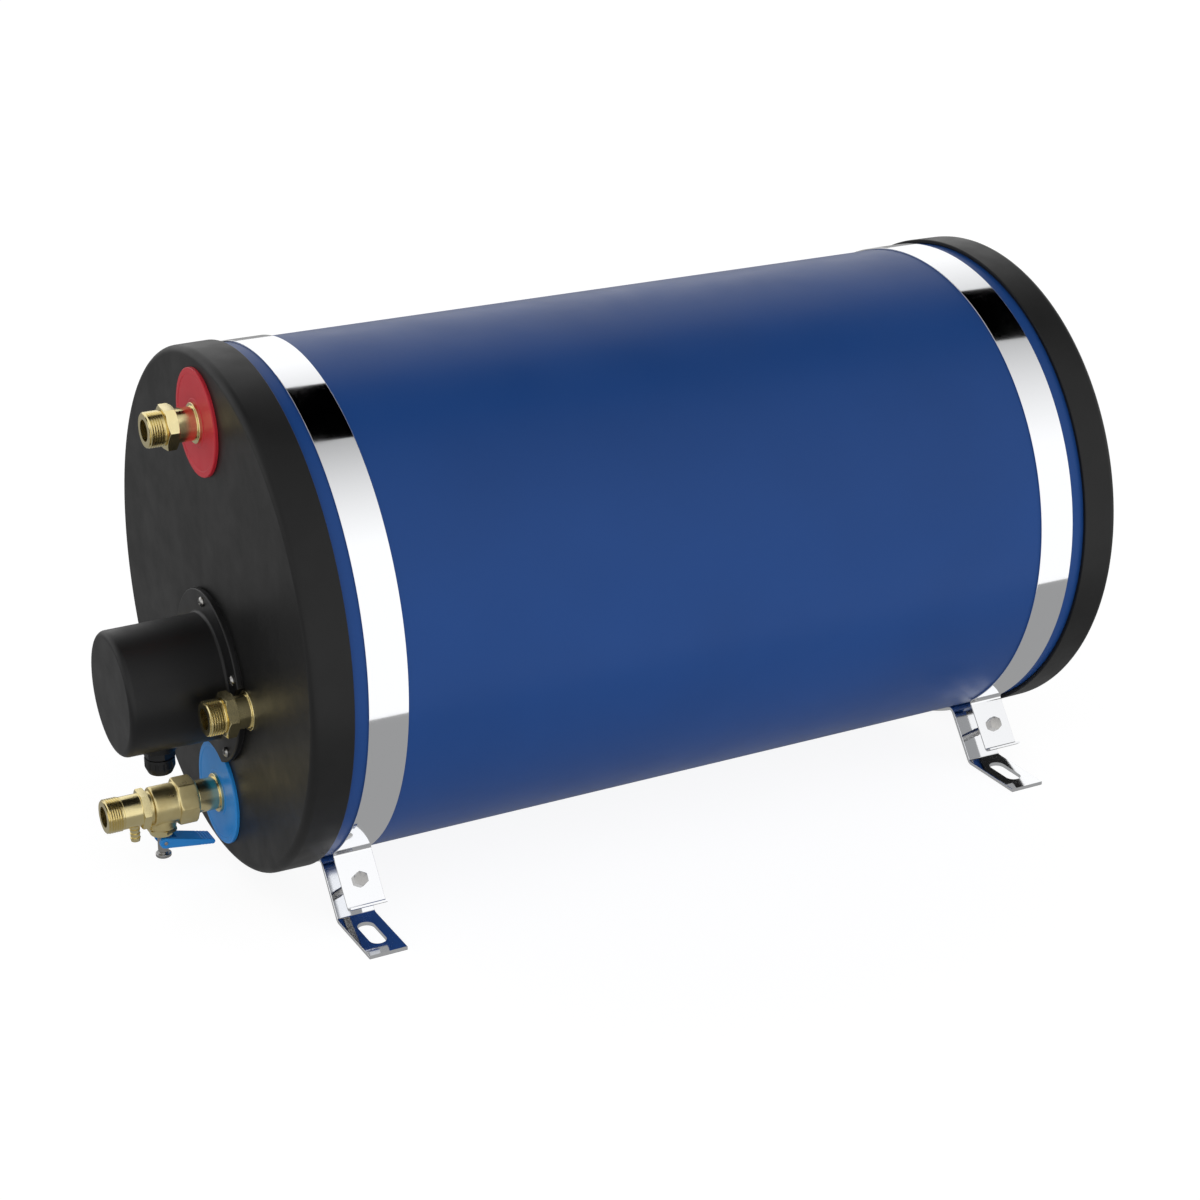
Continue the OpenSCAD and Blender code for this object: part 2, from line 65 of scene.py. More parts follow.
MM = 0.001
ROUND_STEPS = 96
SHARP_ANGLE = math.radians(32)
WELD = 0.002
PAST = 1.0  # how far a cutter runs past what it cuts
COS_30 = math.cos(math.pi / 6)
TAN_30 = math.tan(math.radians(30))
SIDES = {"right": 1, "left": -1}


class Body(Enum):
    """Moving bodies of the frame."""

    TANK = "tank"
    LEVER = "lever"


class Slot(Enum):
    """Material slots of the part's record."""

    JACKET = "jacket"
    CAP = "cap"
    STRAP = "strap"
    FASTENER = "fastener"
    HOT = "hot_plastic"
    COLD = "cold_plastic"
    BRASS = "brass"
    COVER = "cover"
    GASKET = "gasket"
    GLAND = "gland"


class Merge(Enum):
    """Ways to combine two solids."""

    JOIN = "UNION"
    CUT = "DIFFERENCE"
    COMMON = "INTERSECT"


# ---------- measures of the frame ----------


@dataclass(frozen=True)
class Box:
    """Box round one CAD piece, in millimetres."""

    low: Vector
    high: Vector

    @classmethod
    def of(cls, node: str) -> "Box":
        """Measures a CAD piece at rest."""
        low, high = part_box(node)
        return cls(Vector(low) / MM, Vector(high) / MM)

    @property
    def middle(self) -> Vector:
        """Middle of the box."""
        return (self.low + self.high) / 2

    @property
    def size(self) -> Vector:
        """Lengths of the box's sides."""
        return self.high - self.low


def turned_place(x: float, y: float, z: float, degrees: float, axis: str = "X") -> Matrix:
    """Place at a point, turned about one axis."""
    return Matrix.Translation((x, y, z)) @ Matrix.Rotation(math.radians(degrees), 4, axis)


@dataclass(frozen=True)
class Datum:
    """Places that several sub-assemblies share, in millimetres."""

    jacket_r: float
    axis_z: float
    cap_r: float
    face_y: float
    cap_depth: float

    @classmethod
    def from_frame(cls) -> "Datum":
        """Reads the shared places from the jacket's and the front cap's boxes."""
        jacket, cap = Box.of("casing"), Box.of("front_cap")
        return cls(jacket.size.x / 2, jacket.middle.z, cap.size.x / 2, cap.low.y, cap.size.y)

    def on_face(self, x: float, z: float) -> Matrix:
        """Place on the connection end: local Z points away from the tank and local Y up."""
        return turned_place(x, self.face_y, z, 90)


# ---------- solids ----------


def rounded(corners: Sequence[Corner], steps: int = 6) -> list[Vector]:
    """Turns corners into points, with an arc at each rounded one.

    Args:
        corners: Corners in order; the last joins the first.
        steps: Segments in each arc.

    Returns:
        The outline's points.
    """
    spots = [Vector(corner[:2]) for corner in corners]
    points: list[Vector] = []
    for i, (here, corner) in enumerate(zip(spots, corners)):
        radius = corner[2] if len(corner) > 2 else 0.0
        if not radius:
            points.append(here)
            continue
        back = (spots[i - 1] - here).normalized()
        ahead = (spots[(i + 1) % len(spots)] - here).normalized()
        half = back.angle(ahead) / 2
        centre = here + (back + ahead).normalized() * (radius / math.sin(half))
        reach = radius / math.tan(half)
        first = here + back * reach - centre
        last = here + ahead * reach - centre
        points.extend(centre + first.slerp(last, k / steps) * radius for k in range(steps + 1))
    return points


class Solid:
    """Closed mesh in the making, in millimetres about its own axis."""

    def __init__(self) -> None:
        """Starts an empty solid."""
        self.mesh = bmesh.new()

    @classmethod
    def turned(cls, corners: Sequence[Corner], steps: int = ROUND_STEPS, arc: int = 6) -> "Solid":
        """Spins an outline about local Z.

        Args:
            corners: Outline of (radius, height) corners; one on the axis closes there.
            steps: Segments round the axis.
            arc: Segments in each rounded corner.

        Returns:
            The turned solid.
        """
        solid = cls()
        verts = [solid.mesh.verts.new((p.x, 0, p.y)) for p in rounded(corners, arc)]
        edges = [
            solid.mesh.edges.new((a, b))
            for a, b in zip(verts, verts[1:] + verts[:1])
            if a.co.x > 0 or b.co.x > 0
        ]
        bmesh.ops.spin(
            solid.mesh, geom=verts + edges, cent=(0, 0, 0), axis=(0, 0, 1),
            angle=math.tau, steps=steps, use_merge=True,
        )
        return solid.cleaned()

    @classmethod
    def rod(cls, radius: float, low: float, high: float, steps: int = 24, ease: float = 0.0) -> "Solid":
        """Turns a round bar along local Z, with its edges eased if asked."""
        return cls.turned([(0, low), (radius, low, ease), (radius, high, ease), (0, high)], steps)

    @classmethod
    def prism(cls, corners: Sequence[Corner], height: float, arc: int = 6) -> "Solid":
        """Extrudes a flat outline from z = 0 up.

        Args:
            corners: Outline of (x, y) corners.
            height: Height of the prism.
            arc: Segments in each rounded corner.

        Returns:
            The prism.
        """
        solid = cls()
        verts = [solid.mesh.verts.new((p.x, p.y, 0)) for p in rounded(corners, arc)]
        face = solid.mesh.faces.new(verts)
        raised = bmesh.ops.extrude_face_region(solid.mesh, geom=[face], use_keep_orig=True)
        top = [v for v in raised["geom"] if isinstance(v, bmesh.types.BMVert)]
        bmesh.ops.translate(solid.mesh, verts=top, vec=(0, 0, height))
        return solid.cleaned()

    @classmethod
    def hexagon(cls, across: float, height: float) -> "Solid":
        """Stands a six-sided prism on z = 0, with flats across local Y.

        Args:
            across: Size across flats.
            height: Height of the prism.

        Returns:
            The prism.
        """
        solid = cls()
        radius = across / 2 / COS_30
        bmesh.ops.create_cone(
            solid.mesh, cap_ends=True, segments=6, radius1=radius, radius2=radius, depth=height,
            matrix=turned_place(0, 0, height / 2, 90, "Z"),
        )
        return solid

    def cleaned(self) -> "Solid":
        """Merges doubled points and turns every face outwards.

        Returns:
            This solid.
        """
        bmesh.ops.remove_doubles(self.mesh, verts=self.mesh.verts, dist=WELD)
        bmesh.ops.recalc_face_normals(self.mesh, faces=self.mesh.faces)
        return self

    def moved(self, place: Matrix) -> "Solid":
        """Moves the solid to a place, turned outwards again if that mirrors it.

        Args:
            place: The place, in millimetres.

        Returns:
            This solid.
        """
        bmesh.ops.transform(self.mesh, matrix=place, verts=self.mesh.verts)
        if place.determinant() < 0:
            bmesh.ops.reverse_faces(self.mesh, faces=self.mesh.faces)
        return self

    def shifted(self, x: float, y: float, z: float) -> "Solid":
        """Moves the solid by a step."""
        return self.moved(Matrix.Translation((x, y, z)))

    def with_part(self, other: "Solid") -> "Solid":
        """Takes in another solid as a separate shell.

        Args:
            other: The other solid; it is used up.

        Returns:
            This solid.
        """
        data = other.to_mesh("taken_in")
        self.mesh.from_mesh(data)
        bpy.data.meshes.remove(data)
        return self

    def merged(self, other: "Solid", how: Merge) -> "Solid":
        """Combines this solid with another into one skin.

        Args:
            other: The second solid; it is used up.
            how: What to keep of the two.

        Returns:
            This solid.
        """
        pair = [bpy.data.objects.new("merging", solid.to_mesh("merging")) for solid in (self, other)]
        for part in pair:
            bpy.context.scene.collection.objects.link(part)
        join = pair[0].modifiers.new("join", "BOOLEAN")
        join.operation = how.value
        join.object = pair[1]
        join.solver = "EXACT"
        result = final_mesh(pair[0])
        self.mesh = bmesh.new()
        self.mesh.from_mesh(result)
        bpy.data.meshes.remove(result)
        for part in pair:
            data = part.data
            bpy.data.objects.remove(part)
            bpy.data.meshes.remove(data)
        return self

    def cut(self, *cutters: "Solid") -> "Solid":
        """Cuts other solids out of this one, one after another.

        Args:
            cutters: The other solids; they are used up.

        Returns:
            This solid.
        """
        for cutter in cutters:
            self.merged(cutter, Merge.CUT)
        return self

    def eased(self, width: float, sharper: float) -> "Solid":
        """Rounds the edges that are sharper than an angle.

        Args:
            width: Width of the rounding.
            sharper: Least angle, in degrees, of an edge that is rounded.

        Returns:
            This solid.
        """
        mesh, limit = self.mesh, math.radians(sharper)
        bmesh.ops.dissolve_limit(mesh, angle_limit=math.radians(0.5), verts=mesh.verts, edges=mesh.edges)
        edges = [e for e in mesh.edges if len(e.link_faces) == 2 and e.calc_face_angle(0.0) > limit]
        bmesh.ops.bevel(
            mesh, geom=edges, offset=width, offset_type="OFFSET", affect="EDGES",
            segments=3, profile=0.5, material=-1, clamp_overlap=True,
        )
        return self

    def to_mesh(self, name: str) -> bpy.types.Mesh:
        """Writes the solid to mesh data and gives it up.

        Args:
            name: Name of the data.

        Returns:
            The mesh data.
        """
        data = bpy.data.meshes.new(name)
        self.mesh.to_mesh(data)
        self.mesh.free()
        return data

    def piece(
        self,
        name: str,
        finish: "Finish",
        node: str | None,
        place: Matrix,
        body: Body = Body.TANK,
        sharp: float = SHARP_ANGLE,
    ) -> bpy.types.Object:
        """Finishes the solid as a piece of the heater.

        Args:
            name: Name of the piece.
            finish: Its finish.
            node: CAD piece that it stands for, or nothing if it is added to them.
            place: Where it goes, in millimetres.
            body: Body that it rides on.
            sharp: Edges bent more than this stay crisp.

        Returns:
            The finished object.
        """
        self.moved(place)
        bmesh.ops.scale(self.mesh, vec=(MM, MM, MM), verts=self.mesh.verts)
        data = self.to_mesh(name)
        data.shade_smooth()
        data.set_sharp_from_angle(angle=sharp)
        data.materials.append(finish.material())
        piece = bpy.data.objects.new(name, data)
        bpy.context.scene.collection.objects.link(piece)
        flat = piece.modifiers.new("flat_faces", "WEIGHTED_NORMAL")
        flat.keep_sharp = True
        if node:
            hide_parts(node)
        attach(piece, body.value)
        log.info("%s: %d faces on %s", name, len(data.polygons), body.value)
        return piece


def final_mesh(piece: bpy.types.Object) -> bpy.types.Mesh:
    """Copies an object's mesh with its modifiers applied."""
    graph = bpy.context.evaluated_depsgraph_get()
    return bpy.data.meshes.new_from_object(piece.evaluated_get(graph))


@dataclass(frozen=True)
class Thread:
    """Male pipe or bolt thread."""

    crest_r: float
    pitch: float
    length: float
    bore_r: float = 0.0
    lead: float = 1.0
    depth_share: float = 0.6

    def solid(self, per_turn: int = 48) -> Solid:
        """Winds the thread along local Z from z = 0, chamfered at its outer end.

        Args:
            per_turn: Segments in each turn.

        Returns:
            The threaded sleeve, or rod where it has no bore.
        """
        root_r = self.crest_r - self.depth_share * self.pitch
        flank = ((root_r, 0.06), (self.crest_r, 0.42), (self.crest_r, 0.58), (root_r, 0.94), (root_r, 1.06))
        turns = math.ceil(self.length / self.pitch) + 3
        solid = Solid()
        mesh = solid.mesh
        chain = [mesh.verts.new((r, 0, (share - 2) * self.pitch)) for r, share in flank]
        edges = [mesh.edges.new(pair) for pair in zip(chain, chain[1:])]
        bmesh.ops.spin(
            mesh, geom=chain + edges, cent=(0, 0, 0), axis=(0, 0, 1), angle=math.tau * turns,
            dvec=(0, 0, self.pitch / per_turn), steps=per_turn * turns, use_merge=False,
        )
        bmesh.ops.remove_doubles(mesh, verts=mesh.verts, dist=WELD)
        for height, normal in ((0.0, (0, 0, -1)), (self.length, (0, 0, 1))):
            bmesh.ops.bisect_plane(
                mesh, geom=mesh.verts[:] + mesh.edges[:] + mesh.faces[:], dist=0.0001,
                plane_co=(0, 0, height), plane_no=normal, clear_outer=True,
            )
        for vert in mesh.verts:
            radius = vert.co.xy.length
            limit = self.crest_r - max(0.0, vert.co.z - self.length + self.lead)
            if radius > limit:
                vert.co.xy *= limit / radius
        rims = [e for e in mesh.edges if len(e.link_faces) == 1]
        if self.bore_r:
            ends = (0.0, self.length)
            for height in ends:
                place = Matrix.Translation((0, 0, height))
                bmesh.ops.create_circle(mesh, segments=per_turn, radius=self.bore_r, matrix=place)
            bore = [e for e in mesh.edges if not e.link_faces]
            bmesh.ops.bridge_loops(mesh, edges=bore)
            for height in ends:
                ring = [e for e in rims + bore if all(abs(v.co.z - height) < 0.01 for v in e.verts)]
                bmesh.ops.bridge_loops(mesh, edges=ring)
        else:
            bmesh.ops.holes_fill(mesh, edges=rims, sides=0)
        bmesh.ops.recalc_face_normals(mesh, faces=mesh.faces)
        return solid


def heading(degrees: float) -> Vector:
    """Unit step in the (x, z) plane at an angle from +X."""
    return Vector((math.cos(math.radians(degrees)), math.sin(math.radians(degrees))))


class BentStrip:
    """Flat bar bent along a path of straights and arcs, square to local Y."""

    def __init__(self, start: Vector, angle: float, width: float, sheet: float, edge: float) -> None:
        """Lays the first section of the bar.

        Args:
            start: Start of the bar's lower face, as (x, z).
            angle: Direction of the path, in degrees from +X towards +Z.
            width: Width of the bar along local Y.
            sheet: Thickness of the bar, to the left of its path.
            edge: Rounding of the bar's edges.
        """
        self.solid = Solid()
        self.at = start.copy()
        self.angle = angle
        half = width / 2
        section = rounded(
            [(-half, 0, edge), (half, 0, edge), (half, sheet, edge), (-half, sheet, edge)], steps=3
        )
        left = heading(angle + 90)
        mesh = self.solid.mesh
        mesh.faces.new(
            [mesh.verts.new((start.x + left.x * p.y, p.x, start.y + left.y * p.y)) for p in section]
        )
        self.rim = mesh.edges[:]

    def straight(self, length: float) -> None:
        """Runs the bar straight on.

        Args:
            length: Length of the run.
        """
        step = heading(self.angle) * length
        made = bmesh.ops.extrude_edge_only(self.solid.mesh, edges=self.rim)["geom"]
        verts = [g for g in made if isinstance(g, bmesh.types.BMVert)]
        bmesh.ops.translate(self.solid.mesh, verts=verts, vec=(step.x, 0, step.y))
        self.rim = [g for g in made if isinstance(g, bmesh.types.BMEdge) and all(v in verts for v in g.verts)]
        self.at += step

    def arc(self, radius: float, turn: float, steps: int) -> "BentStrip":
        """Bends the bar round an arc.

        Args:
            radius: Radius of the path, which is the bar's lower face.
            turn: Degrees turned, left if positive.
            steps: Segments in the arc.

        Returns:
            This strip.
        """
        side = math.copysign(90.0, turn)
        centre = self.at + heading(self.angle + side) * radius
        verts = {v for e in self.rim for v in e.verts}
        made = bmesh.ops.spin(
            self.solid.mesh, geom=self.rim + list(verts), cent=(centre.x, 0, centre.y),
            axis=(0, -1, 0), angle=math.radians(turn), steps=steps, use_merge=False,
        )["geom_last"]
        self.rim = [g for g in made if isinstance(g, bmesh.types.BMEdge)]
        self.angle += turn
        self.at = centre + heading(self.angle - side) * radius
        return self

    def mirrored(self, half: list[tuple[float, ...]], middle: tuple[float, float, int]) -> Solid:
        """Bends the bar along half of a path, an arc in its middle, and the same half backwards.

        Args:
            half: Straights as (length,), and arcs as (radius, turn, steps).
            middle: The middle arc.

        Returns:
            The finished strip.
        """
        for bend in (*half, middle, *reversed(half)):
            if len(bend) == 1:
                self.straight(*bend)
            else:
                self.arc(*bend)
        return self.ended()

    def ended(self) -> Solid:
        """Closes the far end.

        Returns:
            The finished strip.
        """
        bmesh.ops.contextual_create(self.solid.mesh, geom=self.rim)
        bmesh.ops.recalc_face_normals(self.solid.mesh, faces=self.solid.mesh.faces)
        return self.solid


# ---------- finishes ----------


def linear(colour: int) -> tuple[float, float, float, float]:
    """Turns an sRGB hex colour, 0xRRGGBB, to linear red, green, blue and alpha."""
    parts = [(colour >> shift & 255) / 255 for shift in (16, 8, 0)]
    return (*(p / 12.92 if p <= 0.04045 else ((p + 0.055) / 1.055) ** 2.4 for p in parts), 1.0)


def add_node(
    tree: NodeTree,
    kind: str,
    inputs: dict[str | int, object] | None = None,
    **settings: object,
) -> Node:
    """Adds a shader node with its settings, values and links.

    Args:
        tree: Node tree to add to.
        kind: Node type without its ShaderNode prefix.
        inputs: Values for the node's sockets, or the sockets or nodes that give them.
        settings: Properties of the node.

    Returns:
        The node.
    """
    node = tree.nodes.new("ShaderNode" + kind)
    for name, value in settings.items():
        setattr(node, name, value)
    for key, value in (inputs or {}).items():
        if isinstance(value, Node):
            value = next(socket for socket in value.outputs if socket.enabled)
        if isinstance(value, bpy.types.NodeSocket):
            tree.links.new(value, node.inputs[key])
        else:
            node.inputs[key].default_value = value
    return node


def per_metre(size_mm: float) -> float:
    """Scale of a pattern whose features are size_mm apart."""
    return 1 / (size_mm * MM)


@dataclass(frozen=True)
class Skin:
    """Nodes of a finish in the making: its shader, and the coordinates that its patterns follow."""

    tree: NodeTree
    shader: Node
    place: Node

    def feed(self, name: str, source: Node) -> None:
        """Links a node's result to a socket of the shader."""
        self.tree.links.new(next(s for s in source.outputs if s.enabled), self.shader.inputs[name])

    def noise(self, size: float, detail: float) -> Node:
        """Adds noise that is fixed to the piece.

        Args:
            size: Size of its features in millimetres.
            detail: How much fine detail it holds.

        Returns:
            Node with the noise.
        """
        return add_node(self.tree, "TexNoise", {
            "Vector": self.place.outputs["Object"], "Scale": per_metre(size), "Detail": detail,
        })

    def mottle(self, size: float, low: float, high: float, detail: float) -> Node:
        """Soft uneven value, as handling and moulding leave it.

        Args:
            size: Size of the patches in millimetres.
            low: Value in the dull patches.
            high: Value in the bright patches.
            detail: How much fine detail the patches hold.

        Returns:
            Node with the value.
        """
        return add_node(self.tree, "MapRange", {
            "Value": self.noise(size, detail),
            "From Min": 0.3, "From Max": 0.7, "To Min": low, "To Max": high,
        })

    def tint(self, size: float, colours: tuple[int, int], most: float, detail: float) -> None:
        """Lets the base colour drift between two colours in soft patches.

        Args:
            size: Size of the patches in millimetres.
            colours: The main colour and the one that it drifts to.
            most: Largest share of the second colour.
            detail: How much fine detail the patches hold.
        """
        share = self.mottle(size, 0.0, most, detail)
        first, second = (linear(colour) for colour in colours)
        self.feed("Base Color", add_node(self.tree, "Mix", {0: share, 6: first, 7: second}, data_type="RGBA"))

    def emboss(self, height: Node, depth: float, strength: float) -> None:
        """Bumps the surface.

        Args:
            height: Node whose result is the height, from 0 to 1.
            depth: Depth in millimetres of a height of 1.
            strength: Share of the bump that shows.
        """
        self.feed("Normal", add_node(
            self.tree, "Bump", {"Height": height, "Distance": depth * MM, "Strength": strength}
        ))


@dataclass(frozen=True)
class Finish(ABC):
    """Surface of one real material."""

    name: str
    slot: Slot
    colour: int
    roughness: float
    metallic: float = 0.0
    specular: float = 0.5

    def material(self) -> bpy.types.Material:
        """Makes the material once and shares it after that.

        Returns:
            The node material.
        """
        made = bpy.data.materials.get(self.name)
        if made:
            return made
        made = bpy.data.materials.new(self.name)
        made.use_nodes = True
        tree = made.node_tree
        tree.nodes.clear()
        shader = add_node(tree, "BsdfPrincipled", {
            "Base Color": linear(self.colour),
            "Roughness": self.roughness,
            "Metallic": self.metallic,
            "Specular IOR Level": self.specular,
        })
        self.dress(Skin(tree, shader, add_node(tree, "TexCoord")))
        add_node(tree, "OutputMaterial", {"Surface": shader})
        made.diffuse_color = linear(self.colour)
        return made

    @abstractmethod
    def dress(self, skin: Skin) -> None:
        """Adds the pattern, bump and wear of the material."""


@dataclass(frozen=True)
class PowderCoat(Finish):
    """Polyester powder coat on sheet steel: an even satin colour with a fine orange peel."""

    deep_colour: int = 0x1A3468
    peel: float = 2.6

    def dress(self, skin: Skin) -> None:
        """Adds slow colour drift, rubbed patches and orange peel.

        Args:
            skin: Nodes of the finish.
        """
        skin.tint(160, (self.colour, self.deep_colour), most=1.0, detail=2)
        skin.feed("Roughness", skin.mottle(45, self.roughness - 0.03, self.roughness + 0.03, detail=5))
        # the peel is drawn about twice as coarse as powder leaves it, so that it shows
        skin.emboss(skin.noise(self.peel, detail=1), depth=0.05, strength=0.5)


@dataclass(frozen=True)
class MouldedPlastic(Finish):
    """Injection-moulded plastic with a spark-eroded grain from its mould."""

    light_colour: int = 0x2B2B2B
    grain: float = 0.9
    grain_depth: float = 0.01

    def dress(self, skin: Skin) -> None:
        """Adds the mould's flow marks and grain, and handled patches.

        Args:
            skin: Nodes of the finish.
        """
        skin.tint(70, (self.colour, self.light_colour), most=1.0, detail=4)
        skin.feed("Roughness", skin.mottle(22, self.roughness - 0.05, self.roughness + 0.05, detail=5))
        # real grain is 0.2 to 0.4 mm; it is drawn coarser so that it shows
        grain = {"Vector": skin.place.outputs["Object"], "Scale": per_metre(self.grain)}
        pits = add_node(skin.tree, "TexVoronoi", grain, feature="SMOOTH_F1")
        skin.emboss(pits, self.grain_depth, strength=0.6)


@dataclass(frozen=True)
class PolishedStainless(Finish):
    """Mirror-polished stainless strip: sharp reflections with faint lines from the polishing belt."""

    line: float = 0.35
    stretch: float = 8.0

    def dress(self, skin: Skin) -> None:
        """Adds faint smears and belt lines round the tank.

        Args:
            skin: Nodes of the finish.
        """
        skin.feed("Roughness", skin.mottle(30, self.roughness * 0.7, self.roughness * 1.4, detail=6))
        # the belt runs along the strip, so its lines are stretched round the tank and fine across it
        scale = (self.stretch, per_metre(self.line), self.stretch)
        lines = add_node(skin.tree, "Mapping", {"Vector": skin.place.outputs["Object"], "Scale": scale})
        scratch = add_node(skin.tree, "TexNoise", {"Vector": lines, "Scale": 1.0, "Detail": 2.0})
        skin.emboss(scratch, depth=0.004, strength=0.25)


@dataclass(frozen=True)
class TurnedMetal(Finish):
    """Machined or forged metal: a clear gloss with duller patches and a fine uneven skin."""

    dull_colour: int = 0x8A6E2C
    pitting: float = 0.8
    pit_depth: float = 0.01
    dullness: float = 0.4

    def dress(self, skin: Skin) -> None:
        """Adds tarnish, wear from handling and the tool's or the forging's skin.

        Args:
            skin: Nodes of the finish.
        """
        skin.tint(12, (self.colour, self.dull_colour), most=self.dullness, detail=4)
        skin.feed("Roughness", skin.mottle(8, self.roughness * 0.8, self.roughness * 1.25, detail=3))
        skin.emboss(skin.noise(self.pitting, detail=1.5), self.pit_depth, strength=0.5)


@dataclass(frozen=True)
class MouldedRubber(Finish):
    """Black nitrile rubber: a dead matt surface with a dusty bloom."""

    bloom_colour: int = 0x2A2A2A

    def dress(self, skin: Skin) -> None:
        """Adds the dusty bloom and a soft pebbled skin."""
        skin.tint(8, (self.colour, self.bloom_colour), most=0.8, detail=6)
        skin.emboss(skin.noise(0.7, detail=3), depth=0.03, strength=1.0)


NAVY_COAT = PowderCoat("navy_powder_coat", Slot.JACKET, 0x1F4787, 0.34, specular=0.16, deep_colour=0x1D4380)
CAP_PLASTIC = MouldedPlastic(
    "black_polypropylene", Slot.CAP, 0x161616, 0.42, specular=0.24, light_colour=0x1C1C1C, grain_depth=0.03
)
COVER_PLASTIC = MouldedPlastic(
    "black_abs", Slot.COVER, 0x101011, 0.42, specular=0.35, light_colour=0x151516, grain=0.7, grain_depth=0.03
)
RED_PLASTIC = MouldedPlastic(
    "red_polypropylene", Slot.HOT, 0xB81F2C, 0.42, specular=0.3, light_colour=0xC02A37, grain=0.6
)
BLUE_PLASTIC = MouldedPlastic(
    "blue_polypropylene", Slot.COLD, 0x1A80CE, 0.4, specular=0.35, light_colour=0x248AD6, grain=0.6
)
NYLON = MouldedPlastic(
    "black_nylon", Slot.GLAND, 0x121213, 0.42, specular=0.4, light_colour=0x171718, grain=0.5
)
STRAP_STEEL = PolishedStainless("polished_stainless_strip", Slot.STRAP, 0xF8F9FB, 0.06, metallic=1.0)
BOLT_STEEL = TurnedMetal(
    "stainless_fastener", Slot.FASTENER, 0xB8B6B3, 0.26, metallic=1.0, dull_colour=0x9A9B9C,
    pitting=0.5, pit_depth=0.004,
)
MACHINED_BRASS = TurnedMetal(
    "machined_brass", Slot.BRASS, 0xEFE1AC, 0.19, metallic=1.0, dull_colour=0xDCC68A,
    pitting=1.2, pit_depth=0.0015, dullness=0.3,
)
FORGED_BRASS = TurnedMetal(
    "forged_brass", Slot.BRASS, 0xECDCA4, 0.34, metallic=1.0, dull_colour=0xCBB272,
    pitting=1.4, pit_depth=0.012,
)
RUBBER = MouldedRubber("black_nitrile_rubber", Slot.GASKET, 0x1A1A1A, 0.85, specular=0.3)


# ---------- tank ----------


@dataclass
class Jacket:
    """Painted sheet round the insulation, butted under the tank over a backing strip."""

    datum: Datum
    sheet: float = 1.0
    edge_r: float = 0.2
    joint_gap: float = 0.7
    backing_w: float = 26.0
    backing_gap: float = 0.05

    def build(self) -> None:
        """Rolls the sheet and its backing strip and paints them."""
        box, outer_r = Box.of("casing"), self.datum.jacket_r
        gap = math.degrees(self.joint_gap / outer_r)
        backing_r = outer_r - self.sheet - self.backing_gap
        lap = math.degrees(self.backing_w / backing_r)
        jacket = self._rolled(outer_r, gap / 2, 360 - gap, box.size.y, 256)
        backing = self._rolled(backing_r, -lap / 2, lap, box.size.y - 2 * self.datum.cap_depth, 12)
        place = Matrix.Translation((0, box.middle.y, self.datum.axis_z))
        jacket.with_part(backing).piece("painted_jacket", NAVY_COAT, "casing", place)

    def _rolled(self, radius: float, start: float, turn: float, width: float, steps: int) -> Solid:
        """Rolls a sheet round the tank's axis.

        Args:
            radius: Outer radius of the sheet.
            start: Angle at which it starts, in degrees from straight down.
            turn: Degrees that it goes round.
            width: Length along the tank.
            steps: Segments in the roll.

        Returns:
            The rolled sheet.
        """
        strip = BentStrip(heading(start - 90) * radius, start, width, self.sheet, self.edge_r)
        return strip.arc(radius, turn, steps).ended()


CAP_WALL = 3.2


@dataclass
class EndCap:
    """Moulded cap over an end of the jacket."""

    datum: Datum
    node: str
    outward: float
    edge_r: float = 6.0
    lip_r: float = 0.8
    draft: float = 0.35
    jacket_gap: float = 0.15
    gate_r: float = 4.0
    gate_depth: float = 0.5

    def build(self) -> None:
        """Turns the cap's section, with the mould's gate mark in its middle."""
        datum, gate_z = self.datum, -self.gate_depth
        radius, depth, inner = datum.cap_r, datum.cap_depth, datum.jacket_r + self.jacket_gap
        cap = Solid.turned([
            (0, gate_z), (self.gate_r - 1, gate_z, 0.5), (self.gate_r, 0, 0.4),
            (radius - self.draft, 0, self.edge_r), (radius, -depth, self.lip_r),
            (inner, -depth, self.lip_r), (inner, -CAP_WALL, 2.5), (0, -CAP_WALL),
        ], steps=256, arc=8)
        place = turned_place(0, self.outward * abs(datum.face_y), datum.axis_z, -90 * self.outward)
        cap.piece(self.node + "_moulding", CAP_PLASTIC, self.node, place)


# ---------- straps, saddles and their bolts ----------


HEX_PROUD = 0.2


def hex_solid(across: float, height: float, bore_r: float = 0.0, both_ends: bool = False) -> Solid:
    """Machines a hexagon from z = 0 up, with its corners chamfered round.

    Args:
        across: Size across flats.
        height: Height of the hexagon.
        bore_r: Radius of a hole through it.
        both_ends: Whether the lower end is chamfered too.

    Returns:
        The hexagon.
    """
    corner_r, chamfer_r = across / 2 / COS_30, across / 2 * 0.96
    drop, outer_r = (corner_r - chamfer_r) * TAN_30, corner_r + HEX_PROUD
    lead = 0.4 if bore_r else 0.0
    outline = [
        (bore_r + lead, 0), (chamfer_r if both_ends else outer_r, 0), (outer_r, drop if both_ends else 0),
        (outer_r, height - drop * 1.3), (chamfer_r, height), (bore_r + lead, height),
    ]
    if bore_r:
        outline += [(bore_r, height - lead), (bore_r, lead)]
    return Solid.turned(outline, steps=48).merged(Solid.hexagon(across, height), Merge.COMMON)


def oblong(half_x: float, half_y: float, radius: float) -> list[Corner]:
    """Outline of a rectangle about the origin, with rounded corners."""
    return [(x * half_x, y * half_y, radius) for x, y in ((-1, -1), (1, -1), (1, 1), (-1, 1))]


